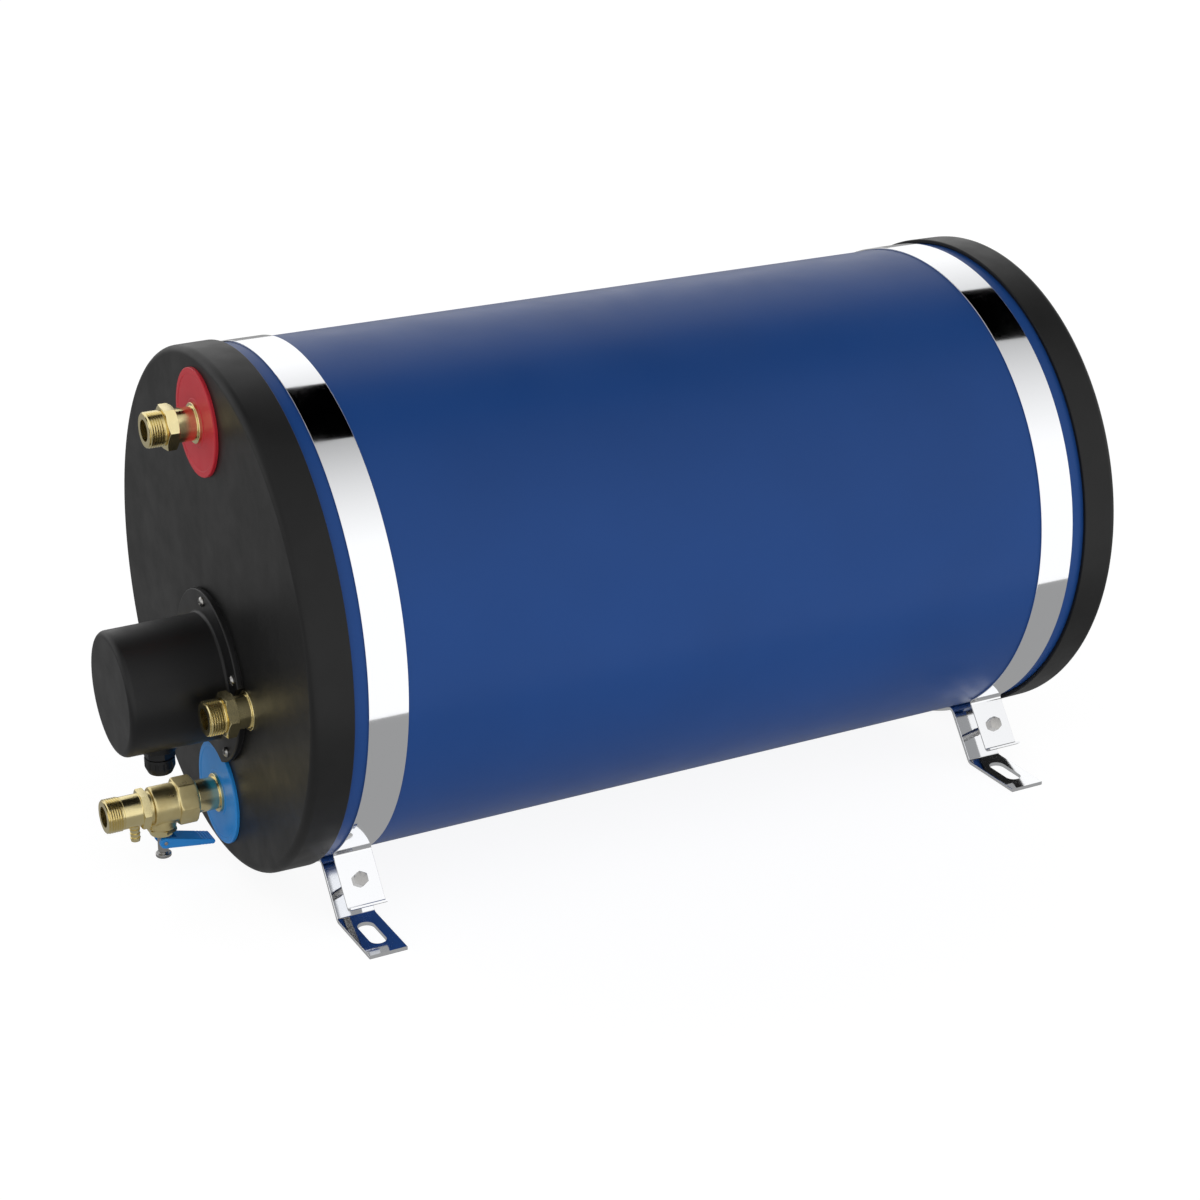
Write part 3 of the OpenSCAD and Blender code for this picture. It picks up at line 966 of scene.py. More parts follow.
@dataclass
class ClampStrap:
    """Clamp strap over the tank, the saddle under it, and the two bolts that draw them together."""

    datum: Datum
    end: str
    strap_t: float = 1.5
    strap_edge_r: float = 0.35
    saddle_t: float = 3.0
    saddle_edge_r: float = 0.5
    bend_r: float = 3.0
    clamp_gap: float = 27.0
    lip_h: float = 6.0
    foot_heel: float = 27.0
    foot_margin: float = 13.0
    ear_margin: float = 21.0
    bolt_reach: float = 24.0
    bolt_r: float = 3.0
    bolt_pitch: float = 1.0
    bolt_gap: float = 0.3
    thread_gap: float = 0.05
    bolt_af: float = 10.0
    head_h: float = 4.0
    nut_h: float = 5.0
    tail: float = 4.0
    slot_r: float = field(init=False)
    slot_x: float = field(init=False)
    slot_length: float = field(init=False)
    width: float = field(init=False)
    middle: Matrix = field(init=False)
    web_offset: float = field(init=False)
    root_x: float = field(init=False)
    root_h: float = field(init=False)
    ear_angle: float = field(init=False)
    bolt_x: float = field(init=False)

    def __post_init__(self) -> None:
        """Reads the slots and the strap's place, and works out where web, foot, ear and bolt are."""
        slots = next(m for m in frame["record"]["mounts"] if m["name"] == "floor_slots")["dims"]
        self.slot_r = slots["hole_r_mm"]
        self.slot_x = slots["spacing_x_mm"] / 2
        self.slot_length = slots["slot_length_mm"]
        box = Box.of(self.end + "_strap")
        self.width = box.size.y
        self.middle = Matrix.Translation((0, box.middle.y, self.datum.axis_z))
        self.web_offset = self.strap_t + self.clamp_gap
        self.root_x = self.slot_x - self.foot_heel
        self.root_h = self.datum.axis_z - self.saddle_t - self.bend_r
        lean = math.asin((self.web_offset - self.bend_r) / math.hypot(self.root_x, self.root_h))
        self.ear_angle = math.degrees(math.atan2(self.root_x, self.root_h) + lean)
        self.bolt_x = self.datum.jacket_r + self.bolt_reach

    def build(self) -> None:
        """Bends the strap and saddle, cuts their holes and fits the bolts."""
        strap, saddle = self._strap(), self._saddle()
        for side in SIDES.values():
            for sheet in (strap, saddle):
                drill = Solid.rod(self.bolt_r + self.bolt_gap, -60, 4, 32)
                sheet.cut(drill.moved(self._on_ear(side, 0)))
            saddle.cut(self._slot_cutter(side))
        strap.piece(self.end + "_clamp_strap", STRAP_STEEL, self.end + "_strap", self.middle)
        saddle.piece(self.end + "_saddle_bracket", STRAP_STEEL, self.end + "_saddle", self.middle)
        for name, side in SIDES.items():
            self._fasten(name, side)

    def _on_ear(self, side: int, level: float) -> Matrix:
        """Place on a bolt's axis, from the tank's axis, with local Z out of the ear's face.

        Args:
            side: 1 for the ear on the +X side, -1 for the other.
            level: Height above the ear's face.

        Returns:
            The place.
        """
        lean = Matrix.Rotation(math.radians(90 - self.ear_angle), 4, "Y")
        place = lean @ Matrix.Translation((self.bolt_x, 0, level))
        return place if side > 0 else Matrix.Scale(-1, 4, (1, 0, 0)) @ place

    def _strap(self) -> Solid:
        """Bends the strap from one lip, over the tank, to the other.

        Returns:
            The strap, about the tank's axis.
        """
        ear_a, jacket_r, lip_r, bend = self.ear_angle, self.datum.jacket_r, self.bend_r / 2, self.bend_r
        reach = jacket_r + self.strap_t + bend
        bend_a = math.degrees(math.asin(bend / reach))
        ear_end = self.bolt_x + self.ear_margin
        ear_run = ear_end - self.strap_t - lip_r - reach * math.cos(math.radians(bend_a))
        sine, cosine = math.sin(math.radians(ear_a)), math.cos(math.radians(ear_a))
        start = Vector((-sine, -cosine)) * ear_end + Vector((-cosine, sine)) * self.lip_h
        lip, root = (lip_r + self.strap_t, 90, 6), (bend + self.strap_t, 90 - bend_a, 8)
        strip = BentStrip(start, -ear_a, self.width, self.strap_t, self.strap_edge_r)
        half = [(self.lip_h - lip_r,), lip, (ear_run,), root]
        return strip.mirrored(half, (jacket_r, -360 + 2 * (ear_a + bend_a), 220))

    def _saddle(self) -> Solid:
        """Bends the saddle from one foot, under the tank, to the other.

        Returns:
            The saddle, about the tank's axis.
        """
        ear_a, sheet, bend = self.ear_angle, self.saddle_t, self.bend_r
        web_d = self.datum.jacket_r + sheet + bend
        web_a = math.degrees(math.asin((self.web_offset + sheet + bend) / web_d))
        sine, cosine = math.sin(math.radians(ear_a)), math.cos(math.radians(ear_a))
        root_run = (self.root_h - (self.web_offset - bend) * sine) / cosine
        web_run = root_run - web_d * math.cos(math.radians(web_a))
        foot_end = self.slot_x + self.slot_length / 2 + self.foot_margin
        foot, root = (foot_end - self.root_x,), (bend + sheet, 90 - ear_a, 8)
        start = Vector((-foot_end, -self.datum.axis_z))
        strip = BentStrip(start, 0, self.width, sheet, self.saddle_edge_r)
        half = [foot, root, (web_run,), (bend, web_a - 90, 10)]
        return strip.mirrored(half, (self.datum.jacket_r + sheet, 2 * (ear_a - web_a), 48))

    def _slot_cutter(self, side: int) -> Solid:
        """Makes the cutter for the mounting slot on one side, about the tank's axis.

        Args:
            side: 1 for the slot on the +X side, -1 for the other.

        Returns:
            The cutter.
        """
        outline = oblong(self.slot_length / 2, self.slot_r, self.slot_r - 0.01)
        cutter = Solid.prism(outline, self.saddle_t + 2 * PAST, arc=10)
        return cutter.shifted(side * self.slot_x, 0, -self.datum.axis_z - PAST)

    def _fasten(self, name: str, side: int) -> None:
        """Fits a clamp bolt and its nut.

        Args:
            name: Name of their side.
            side: 1 on the +X side, -1 on the other.
        """
        grip = self.web_offset + self.saddle_t
        length = grip + self.nut_h + self.tail
        shank = Thread(self.bolt_r, self.bolt_pitch, length, lead=0.8).solid(per_turn=24)
        bolt = hex_solid(self.bolt_af, self.head_h).with_part(shank.moved(Matrix.Rotation(math.pi, 4, "X")))
        nut = hex_solid(self.bolt_af, self.nut_h, bore_r=self.bolt_r + self.thread_gap, both_ends=True)
        for solid, kind, level in ((bolt, "bolt", 0.0), (nut, "nut", -grip - self.nut_h)):
            node = f"{self.end}_{name}_{kind}"
            solid.piece(node + "_m6", BOLT_STEEL, node, self.middle @ self._on_ear(side, level))


# ---------- pipe connections ----------


PIPE_PITCH = 1.814
PIPE_R = 13.2
PIPE_THREAD_L = 13.0
RELIEF_R = PIPE_R - 1.3
WATER_WAY_R = 8.0
THREAD_LAP = 0.2
SHANK_R = 12.5
COLLAR_R = 15.0
COLLAR_T = 2.0


def flats_cutter(across: float, low: float, high: float) -> Solid:
    """Cutter that leaves a hexagon on a turned body between two heights."""
    core = Solid.hexagon(across, high - low + 2 * PAST)
    return Solid.rod(across, low, high).cut(core.shifted(0, 0, low - PAST))


def hex_rim(
    across: float, low: float, high: float, inset: float, drop: float, proud: float = HEX_PROUD
) -> list[Corner]:
    """Outline of a hexagon's corners, chamfered at both ends.

    Args:
        across: Size across flats.
        low: Lower end of the hexagon.
        high: Upper end of the hexagon.
        inset: How far in the chamfers go.
        drop: Height of a chamfer.
        proud: How far the outline stands out from the corners.

    Returns:
        Four corners, from the lower end up.
    """
    corner_r = across / 2 / COS_30
    rim_r = corner_r + proud
    return [(corner_r - inset, low), (rim_r, low + drop), (rim_r, high - drop), (corner_r - inset, high)]


def shank(seat: float) -> list[Corner]:
    """Outline of a connection from inside the cap to the top of the collar on its seat.

    Args:
        seat: Height of the seat above the cap's face.

    Returns:
        The outline's corners.
    """
    top = seat + COLLAR_T
    inside = [(0, -CAP_WALL), (SHANK_R, -CAP_WALL), (SHANK_R, seat)]
    return inside + [(COLLAR_R, seat), (COLLAR_R, top, 0.5), (SHANK_R, top, 0.5)]


def threaded(
    outline: list[Corner], flats: tuple[float, float, float], heights: tuple[float, float, float]
) -> Solid:
    """Turns a fitting, mills its hexagon and cuts a pipe thread round its water way.

    Args:
        outline: Corners up to the relief below the thread.
        flats: Size across the hexagon's flats, and its two ends.
        heights: Where the water way starts, where the relief ends, and the thread's outer end.

    Returns:
        The fitting.
    """
    low, neck, end = heights
    bore = [(RELIEF_R, neck), (WATER_WAY_R, neck), (WATER_WAY_R, low), (0, low)]
    thread = Thread(PIPE_R, PIPE_PITCH, end - neck + THREAD_LAP, bore_r=WATER_WAY_R).solid(per_turn=64)
    fitting = Solid.turned(outline + bore).cut(flats_cutter(*flats))
    return fitting.with_part(thread.shifted(0, 0, neck - THREAD_LAP))


@dataclass
class PipeEnds:
    """Hot and cold connections on their coloured discs, and the two heating coil connections."""

    datum: Datum
    disc_t: float = 3.0
    recess: float = 0.4
    rim_w: float = 4.0
    hub_w: float = 4.2
    step_w: float = 0.8
    across: float = 30.0
    hex_l: float = 9.0
    neck_l: float = 1.4
    nipple_r: float = 10.4

    def build(self) -> None:
        """Builds the discs and connections."""
        self._disc("hot_disc", RED_PLASTIC)
        self._disc("cold_disc", BLUE_PLASTIC)
        for node, seat in (("hot_connection", self.disc_t), ("coil_inlet", 0.0), ("coil_outlet", 0.0)):
            self._fitting(node, seat)
        self._cold_nipple()

    def _fitting(self, node: str, seat: float) -> None:
        """Turns a brass connection, mills its hexagon and cuts its thread.

        Args:
            node: CAD piece that it stands for.
            seat: Height of its collar's seat above the cap's face.
        """
        box = Box.of(node)
        length = self.datum.face_y - box.low.y
        hex_end = length - PIPE_THREAD_L
        flats = (self.across, hex_end - self.hex_l, hex_end)
        inset = self.across / 2 / COS_30 - self.across / 2 * 0.97
        rim = hex_rim(*flats, inset, inset * TAN_30)
        outline = [*shank(seat), (SHANK_R, hex_end - self.hex_l, 0.5), *rim, (RELIEF_R, hex_end, 0.4)]
        fitting = threaded(outline, flats, (seat + 1, hex_end + self.neck_l, length))
        place = self.datum.on_face(box.middle.x, box.middle.z)
        fitting.piece(node + "_fitting", MACHINED_BRASS, node, place)

    def _disc(self, node: str, finish: Finish) -> None:
        """Moulds a coloured disc, recessed between its rim and its hub.

        Args:
            node: CAD piece that it stands for.
            finish: Finish of the disc.
        """
        box = Box.of(node)
        radius, hole, top = box.size.x / 2, SHANK_R + 0.3, self.disc_t
        low, rim, hub, step = top - self.recess, radius - self.rim_w, hole + self.hub_w, self.step_w
        disc = Solid.turned([
            (hole, 0), (radius, 0, 0.3), (radius, top, 1.0), (rim, top, 0.6), (rim - step, low, 0.4),
            (hub + step, low, 0.4), (hub, top, 0.4), (hole, top),
        ], steps=128)
        disc.piece(node + "_moulding", finish, node, self.datum.on_face(0, box.middle.z))

    def _cold_nipple(self) -> None:
        """Turns the short connection that carries the safety valve."""
        neck = self.datum.face_y - Box.of("valve_body").high.y - 1
        root_r, start = self.nipple_r - 0.4, neck + 1.5
        nipple = Solid.turned([
            *shank(self.disc_t), (SHANK_R, neck, 0.8), (root_r, neck, 0.3), (root_r, neck + 3), (0, neck + 3),
        ])
        length = self.datum.face_y - Box.of("cold_connection").low.y - start
        nipple.with_part(Thread(self.nipple_r, PIPE_PITCH, length).solid().shifted(0, 0, start))
        place = self.datum.on_face(0, Box.of("cold_disc").middle.z)
        nipple.piece("cold_nipple", MACHINED_BRASS, "cold_connection", place)


# ---------- heater cover ----------


@dataclass
class HeaterCover:
    """Cup over the heating element and thermostat, with its gasket, screws and cable gland."""

    datum: Datum
    wall: float = 3.0
    cup_r: float = 48.0
    edge_r: float = 5.0
    flange_t: float = 4.0
    gasket_t: float = 1.5
    draft: float = 0.6
    bite_gap: float = 1.0
    pad_r: float = 13.0
    pad_h: float = 3.0
    screw_head_h: float = 2.6
    screw_r: float = 2.0
    screw_turn: float = 23.0
    slit_w: float = 0.84
    slit_depth: float = 1.5
    gland_af: float = 21.0
    gland_mouth_r: float = 6.0
    gland_bore_r: float = 5.0
    cable_r: float = 4.0
    grip_flutes: int = 12
    flute_r: float = 1.3
    z: float = field(init=False)
    height: float = field(init=False)
    flange_r: float = field(init=False)
    disc_r: float = field(init=False)
    rise: float = field(init=False)
    coil_x: float = field(init=False)
    gland_y: float = field(init=False)
    place: Matrix = field(init=False)

    def __post_init__(self) -> None:
        """Reads the cover's place and sizes from its box and its neighbours'."""
        cover, disc, coil = Box.of("heater_cover"), Box.of("cold_disc"), Box.of("coil_inlet")
        self.coil_x, self.z = coil.middle.x, coil.middle.z
        self.flange_r = cover.high.z - self.z
        self.height = self.datum.face_y - cover.low.y
        self.disc_r = disc.size.x / 2
        self.rise = self.z - disc.middle.z
        self.gland_y = Box.of("gland_body").middle.y
        self.place = self.datum.on_face(0, self.z)

    def build(self) -> None:
        """Moulds the gasket and cover, and fits the screws and the gland."""
        self._gasket()
        self._cover()
        for number in range(1, 6):
            node = f"cover_screw_{number}"
            box = Box.of(node)
            place = turned_place(box.middle.x, box.low.y, box.middle.z, 90)
            screw = self._screw(box.size.x / 2, box.size.y)
            place = place @ Matrix.Rotation(math.radians(self.screw_turn * number), 4, "Z")
            screw.piece(node + "_pan_head", BOLT_STEEL, node, place)
        self._gland()

    def _bitten(self, plate: Solid, top: float) -> Solid:
        """Hollows a plate for the cold connection's disc and the coil connections' collars.

        Args:
            plate: The plate.
            top: Height that the cutters must clear.

        Returns:
            The plate.
        """
        coil_x = self.coil_x
        for x, y, reach in ((0, -self.rise, self.disc_r), (coil_x, 0, COLLAR_R), (-coil_x, 0, COLLAR_R)):
            plate.cut(Solid.rod(reach + self.bite_gap, -PAST, top, 128).shifted(x, y, 0))
        return plate

    def _gasket(self) -> None:
        """Cuts the rubber gasket."""
        inner, outer, top = self.cup_r - self.wall, self.flange_r - 1, self.gasket_t
        ring = Solid.turned([(inner, 0), (outer, 0, 0.2), (outer, top, 0.2), (inner, top)], steps=128)
        self._bitten(ring, top + PAST).piece("cover_seal", RUBBER, "cover_gasket", self.place)

    def _cover(self) -> None:
        """Moulds the cup, its flange and the pad for the gland."""
        top, base, cup_r, pad_r, flange_r = self.height, self.gasket_t, self.cup_r, self.pad_r, self.flange_r
        roof, flange_top, pad_top = top - self.wall, base + self.flange_t, cup_r + self.pad_h
        front_r = cup_r - self.draft
        shell = Solid.turned([
            (cup_r - self.wall, base), (flange_r, base, 0.3), (flange_r, flange_top, 1.2),
            (cup_r, flange_top, 2.5), (front_r, top, self.edge_r), (0, top), (0, roof),
            (front_r - self.wall, roof, 2.5),
        ], steps=128, arc=8)
        pad = Solid.turned([
            (0, cup_r - 6), (pad_r + 1, cup_r - 6), (pad_r + 0.5, cup_r - 0.5, 1.0),
            (pad_r, pad_top, 0.8), (0, pad_top),
        ], steps=64)
        pad.moved(turned_place(0, 0, self.datum.face_y - self.gland_y, 90))
        shell = self._bitten(shell, flange_top + 0.5).merged(pad, Merge.JOIN)
        shell.piece("heater_cover_moulding", COVER_PLASTIC, "heater_cover", self.place)

    def _screw(self, head_r: float, length: float) -> Solid:
        """Models a cross-head pan-head screw with its top at z = 0.

        Args:
            head_r: Radius of the head.
            length: Overall length.

        Returns:
            The screw.
        """
        head_h, shank_r, arm, deep = self.screw_head_h, self.screw_r, head_r * 0.62, self.slit_depth
        screw = Solid.turned([
            (0, 0), (arm, -0.05, 2.0), (head_r, -head_h * 0.55, 0.9), (head_r, -head_h, 0.2),
            (shank_r, -head_h), (shank_r, -length + 1, 0.2), (0, -length),
        ], steps=40)
        for turn in (0, 90):
            slit = Solid.prism(oblong(arm, self.slit_w / 2, 0.15), deep + PAST, arc=2)
            screw.cut(slit.moved(turned_place(0, 0, -deep, turn, "Z")))
        return screw

    def _gland(self) -> None:
        """Moulds the gland's body and clamping nut, and the seal in its mouth."""
        box, mouth_r, cable_r = Box.of("gland_nut"), self.gland_mouth_r, self.cable_r
        nut_r, nut_l, flute_r = box.size.x / 2, box.size.z, self.flute_r
        seat_z = self.z - self.cup_r - self.pad_h
        hex_l = seat_z - box.high.z
        dome = Solid.turned([
            (mouth_r, 0), (nut_r, 0, 0.4), (nut_r, nut_l * 0.55, 3.0), (nut_r * 0.76, nut_l, 2.0),
            (mouth_r + 0.6, nut_l, 0.5), (mouth_r, nut_l - 2, 0.3),
        ], steps=72)
        grip = Solid.rod(nut_r + 2, -PAST, nut_l + PAST, 48)
        for number in range(self.grip_flutes):
            flute = Solid.turned([(0, 2), (flute_r, 2, 0.8), (flute_r, nut_l + 2), (0, nut_l + 2)], steps=12)
            turn = Matrix.Rotation(math.tau * number / self.grip_flutes, 4, "Z")
            grip.cut(flute.shifted(nut_r + 0.5, 0, 0).moved(turn))
        seal_r = mouth_r - 0.05
        seal = Solid.turned([
            (cable_r, 2), (seal_r, 2), (seal_r, nut_l - 2, 0.6), (cable_r, nut_l - 1.2, 0.8),
        ], steps=48)
        place = turned_place(0, self.gland_y, seat_z, 180)
        mouth = place @ Matrix.Translation((0, 0, hex_l))
        body = hex_solid(self.gland_af, hex_l, bore_r=self.gland_bore_r)
        body.piece("gland_hexagon", NYLON, "gland_body", place)
        dome.merged(grip, Merge.COMMON).piece("gland_clamping_nut", NYLON, "gland_nut", mouth)
        seal.piece("gland_seal", RUBBER, None, mouth)


# ---------- safety valve ----------


@dataclass
class SafetyValve:
    """Brass safety and non-return valve on the cold connection, with its test lever."""

    barrel_r: float = 15.0
    barrel_step: float = 3.0
    boss_r: float = 11.0
    across: float = 32.0
    hex_l: float = 15.0
    tail_across: float = 27.0
    tail_hex_l: float = 6.0
    tail_r: float = 12.5
    tail_neck_l: float = 1.2
    bonnet_r: float = 10.0
    stem_r: float = 4.0
    knob_t: float = 3.0
    knob_neck_l: float = 0.8
    drain_bore_r: float = 2.2
    barbs: int = 3
    barb_h: float = 0.7
    collar_l: float = 4.0
    pin_r: float = 1.5
    pin_gap: float = 0.08
    fork_gap: float = 0.5
    lever_edge_r: float = 0.8
    tip_r: float = 2.0
    rake: float = 11.0
    swing: float = 30.0
    grooves: int = 4
    groove_pitch: float = 2.6
    groove_r: float = 0.8
    groove_rise: float = 0.35
    voxel: float = 0.4
    flow: float = 0.5
    flow_rounds: int = 9
    axis_z: float = field(init=False)
    bonnet_y: float = field(init=False)
    pivot_z: float = field(init=False)

    def __post_init__(self) -> None:
        """Reads the valve's axes from the frame."""
        self.axis_z = Box.of("cold_disc").middle.z
        self.bonnet_y = Box.of("valve_bonnet").middle.y
        self.pivot_z = frame["joints"][0]["pos_m"][2] / MM

    def build(self) -> None:
        """Builds the valve from its inlet to its outlet, then its lever."""
        self._body()
        self._tail()
        self._bonnet()
        self._stem()
        self._drain()
        half = Box.of("lever_pin").size.x / 2
        place = turned_place(0, self.bonnet_y, self.pivot_z, 90, "Y")
        pin = Solid.rod(self.pin_r, -half, half, 32, ease=0.5)
        pin.piece("lever_pivot_pin", BOLT_STEEL, "lever_pin", place)
        self._lever()

    def _body(self) -> None:
        """Forges the body: inlet hexagon, barrel and the boss for the bonnet."""
        box, hex_l, barrel_r = Box.of("valve_body"), self.hex_l, self.barrel_r
        length, step = box.size.y, self.barrel_step
        shoulder, neck_r, boss_end = length - step, barrel_r - step, barrel_r + step
        rim = hex_rim(self.across, 0, hex_l, inset=1.6, drop=1.2, proud=0)
        nut = Solid.turned([(0, 0), *rim, (0, hex_l)], steps=64)
        nut.merged(Solid.hexagon(self.across, hex_l), Merge.COMMON)
        barrel = Solid.turned([
            (0, 1), (barrel_r, 1), (barrel_r, shoulder, 1.2), (neck_r, shoulder, 0.8),
            (neck_r, length), (0, length),
        ], steps=72)
        boss = Solid.turned([
            (0, 0), (self.boss_r, 0), (self.boss_r, boss_end, 0.8), (0, boss_end),
        ], steps=64)
        boss.moved(turned_place(0, 0, length - self.boss_r, 90))
        forging = nut.merged(barrel, Merge.JOIN).merged(boss, Merge.JOIN)
        piece = forging.piece("valve_forging", FORGED_BRASS, "valve_body", self._along(box), sharp=math.pi)
        self._soften(piece)

    def _soften(self, piece: bpy.types.Object) -> None:
        """Runs a finished piece's edges and joints together, as a forging's are.

        Args:
            piece: The finished piece.
        """
        remesh = piece.modifiers.new("skin", "REMESH")
        remesh.mode = "VOXEL"
        remesh.voxel_size = self.voxel * MM
        smooth = piece.modifiers.new("flow", "SMOOTH")
        smooth.factor = self.flow
        smooth.iterations = self.flow_rounds
        softened, old = final_mesh(piece), piece.data
        piece.modifiers.clear()
        piece.data = softened
        bpy.data.meshes.remove(old)
        softened.name = piece.name
        softened.shade_smooth()

    def _tail(self) -> None:
        """Turns the tail piece with its hexagon and outlet thread."""
        box, hex_l, tail_r = Box.of("valve_tail"), self.tail_hex_l, self.tail_r
        flats, shoulder = (self.tail_across, 0, hex_l), box.size.y - PIPE_THREAD_L
        tail = threaded([
            (0, 0), *hex_rim(*flats, inset=1.0, drop=0.7), (tail_r, hex_l, 0.5),
            (tail_r, shoulder, 0.4), (RELIEF_R, shoulder),
        ], flats, (2, shoulder + self.tail_neck_l, box.size.y))
        tail.piece("valve_tail_piece", MACHINED_BRASS, "valve_tail", self._along(box))

    def _along(self, box: Box) -> Matrix:
        """Place on the valve's axis at a piece's inner end, with local Z out of the tank."""
        return turned_place(0, box.high.y, self.axis_z, 90)

    def _below(self, z: float) -> Matrix:
        """Place on the bonnet's axis, with local Z down."""
        return turned_place(0, self.bonnet_y, z, 180)

    def _bonnet(self) -> None:
        """Turns the bonnet that holds the spring."""
        box, across, stem_r = Box.of("valve_bonnet"), 2 * self.bonnet_r, self.stem_r
        height, half, dome_r, hole_r = box.size.z, box.size.z / 2, self.bonnet_r - 0.4, stem_r + 0.05
        bonnet = Solid.turned([
            (0, 0), *hex_rim(across, 0, half, inset=0.8, drop=0.6), (dome_r, half, 0.4),
            (dome_r, height, 2.2), (stem_r + 0.6, height, 0.4), (hole_r, height - 0.8), (hole_r, 1), (0, 1),
        ], steps=72)
        bonnet.cut(flats_cutter(across, 0, half))
        bonnet.piece("valve_bonnet_nut", MACHINED_BRASS, "valve_bonnet", self._below(box.high.z))

    def _stem(self) -> None:
        """Turns the stem and the knob on its end."""
        box = Box.of("valve_stem")
        end, knob_r, stem_r, neck_r = box.size.z, box.size.x / 2, self.stem_r, self.stem_r - 0.9
        knob, neck = end - self.knob_t, end - self.knob_t - self.knob_neck_l
        stem = Solid.turned([
            (0, 0), (stem_r, 0, 0.3), (stem_r, neck - 0.8, 0.3), (neck_r, neck, 0.3),
            (neck_r, knob, 0.2), (knob_r, knob, 0.5), (knob_r, end, 1.0), (0, end),
        ], steps=48)
        stem.piece("valve_spindle", BOLT_STEEL, "valve_stem", self._below(box.high.z))

    def _drain(self) -> None:
        """Turns the drain nozzle with its hose barbs."""
        box, bore_r = Box.of("valve_drain"), self.drain_bore_r
        radius, end = box.size.x / 2, self.axis_z - box.low.z
        root = end - box.size.z - 1
        barb = (end - root - self.collar_l) / self.barbs
        outline = [(0, root), (radius, root), (radius, root + 3.4, 0.5)]
        for number in range(self.barbs):
            foot = root + self.collar_l + barb * number
            low_r = radius - self.barb_h
            outline += [(low_r, foot), (radius - 0.02, foot + 0.25), (low_r + 0.1, foot + barb - 0.1)]
        outline += [(radius - 1.0, end, 0.3), (bore_r, end, 0.3), (bore_r, root + 3), (0, root + 3)]
        place = turned_place(0, box.middle.y, self.axis_z, 180)
        nozzle = Solid.turned(outline, steps=48, arc=3)
        nozzle.piece("valve_drain_nozzle", MACHINED_BRASS, "valve_drain", place)

    def _lever(self) -> None:
        """Moulds the blue test lever with its fork and finger grip."""
        box, tip_r = Box.of("valve_lever"), self.tip_r
        heel_r, width, rake = self.bonnet_y - box.low.y, box.size.x, math.radians(self.rake)
        reach = (box.high.y - self.bonnet_y - tip_r) / math.cos(rake)
        lever = Solid.prism(self._lever_side(heel_r, reach), width).eased(self.lever_edge_r, sharper=50)
        upright = Matrix(((0, 0, 1, 0), (1, 0, 0, 0), (0, 1, 0, 0), (0, 0, 0, 1)))
        lever.shifted(0, 0, -width / 2).moved(upright)
        fork, lifted = self.stem_r + self.fork_gap, rake + math.radians(self.swing)
        slot_end = self.stem_r / math.cos(lifted) + heel_r * math.tan(lifted) + self.fork_gap
        slot = Solid.prism([
            (-fork, -3 * heel_r), (fork, -3 * heel_r), (fork, slot_end, 1.5), (-fork, slot_end, 1.5),
        ], 4 * heel_r)
        lever.cut(slot.shifted(0, 0, -2 * heel_r), self._crossbar(self.pin_r + self.pin_gap, width))
        for number in range(self.grooves):
            along = reach - 1 - self.groove_pitch * number
            depth = heel_r + (tip_r - heel_r) * along / reach + self.groove_rise
            for side in (-1, 1):
                lever.cut(self._crossbar(self.groove_r, width).shifted(0, along, side * depth))
        place = turned_place(0, self.bonnet_y, self.pivot_z, -self.rake)
        lever.piece("test_lever", BLUE_PLASTIC, "valve_lever", place, body=Body.LEVER)

    def _lever_side(self, heel_r: float, reach: float, steps: int = 20) -> list[Corner]:
        """Side view of the lever: two circles and their tangents.

        Args:
            heel_r: Radius at the pivot.
            reach: From the pivot to the middle of the tip.
            steps: Segments in each arc.

        Returns:
            The outline's corners.
        """
        tip_r = self.tip_r
        touch = math.acos((heel_r - tip_r) / reach)
        heel = [touch + (math.tau - 2 * touch) * i / steps for i in range(steps + 1)]
        tip = [-touch + 2 * touch * i / steps for i in range(steps + 1)]
        corners = [(heel_r * math.cos(a), heel_r * math.sin(a)) for a in heel]
        return corners + [(reach + tip_r * math.cos(a), tip_r * math.sin(a)) for a in tip]

    @staticmethod
    def _crossbar(radius: float, half: float) -> Solid:
        """Round bar across the lever, for cutting holes and grooves."""
        return Solid.rod(radius, -half, half).moved(Matrix.Rotation(math.pi / 2, 4, "Y"))


# ---------- studio ----------


@dataclass(frozen=True)
class Camera:
    """Long-lens camera above the tank's right side, turned towards the connections."""

    place: tuple[float, float, float] = (1.6684, -0.9136, 0.9372)
    ahead: tuple[float, float, float] = (-0.81825, 0.43549, -0.37525)
    up: tuple[float, float, float] = (-0.33126, 0.17630, 0.92692)
    lens: float = 76.885
    sensor: float = 36.0
    shift: tuple[float, float] = (0.0098, -0.01103)
    view_limit: float = 50.0

    def build(self) -> None:
        """Puts the camera in the scene."""
        data = bpy.data.cameras.new("camera")
        data.sensor_width = self.sensor
        data.lens = self.lens
        data.shift_x, data.shift_y = self.shift
        data.clip_end = self.view_limit
        camera = bpy.data.objects.new("camera", data)
        ahead, up = Vector(self.ahead), Vector(self.up)
        turn = Matrix((ahead.cross(up), up, -ahead)).transposed().to_4x4()
        camera.matrix_world = Matrix.Translation(self.place) @ turn
        bpy.context.scene.collection.objects.link(camera)
        bpy.context.scene.camera = camera


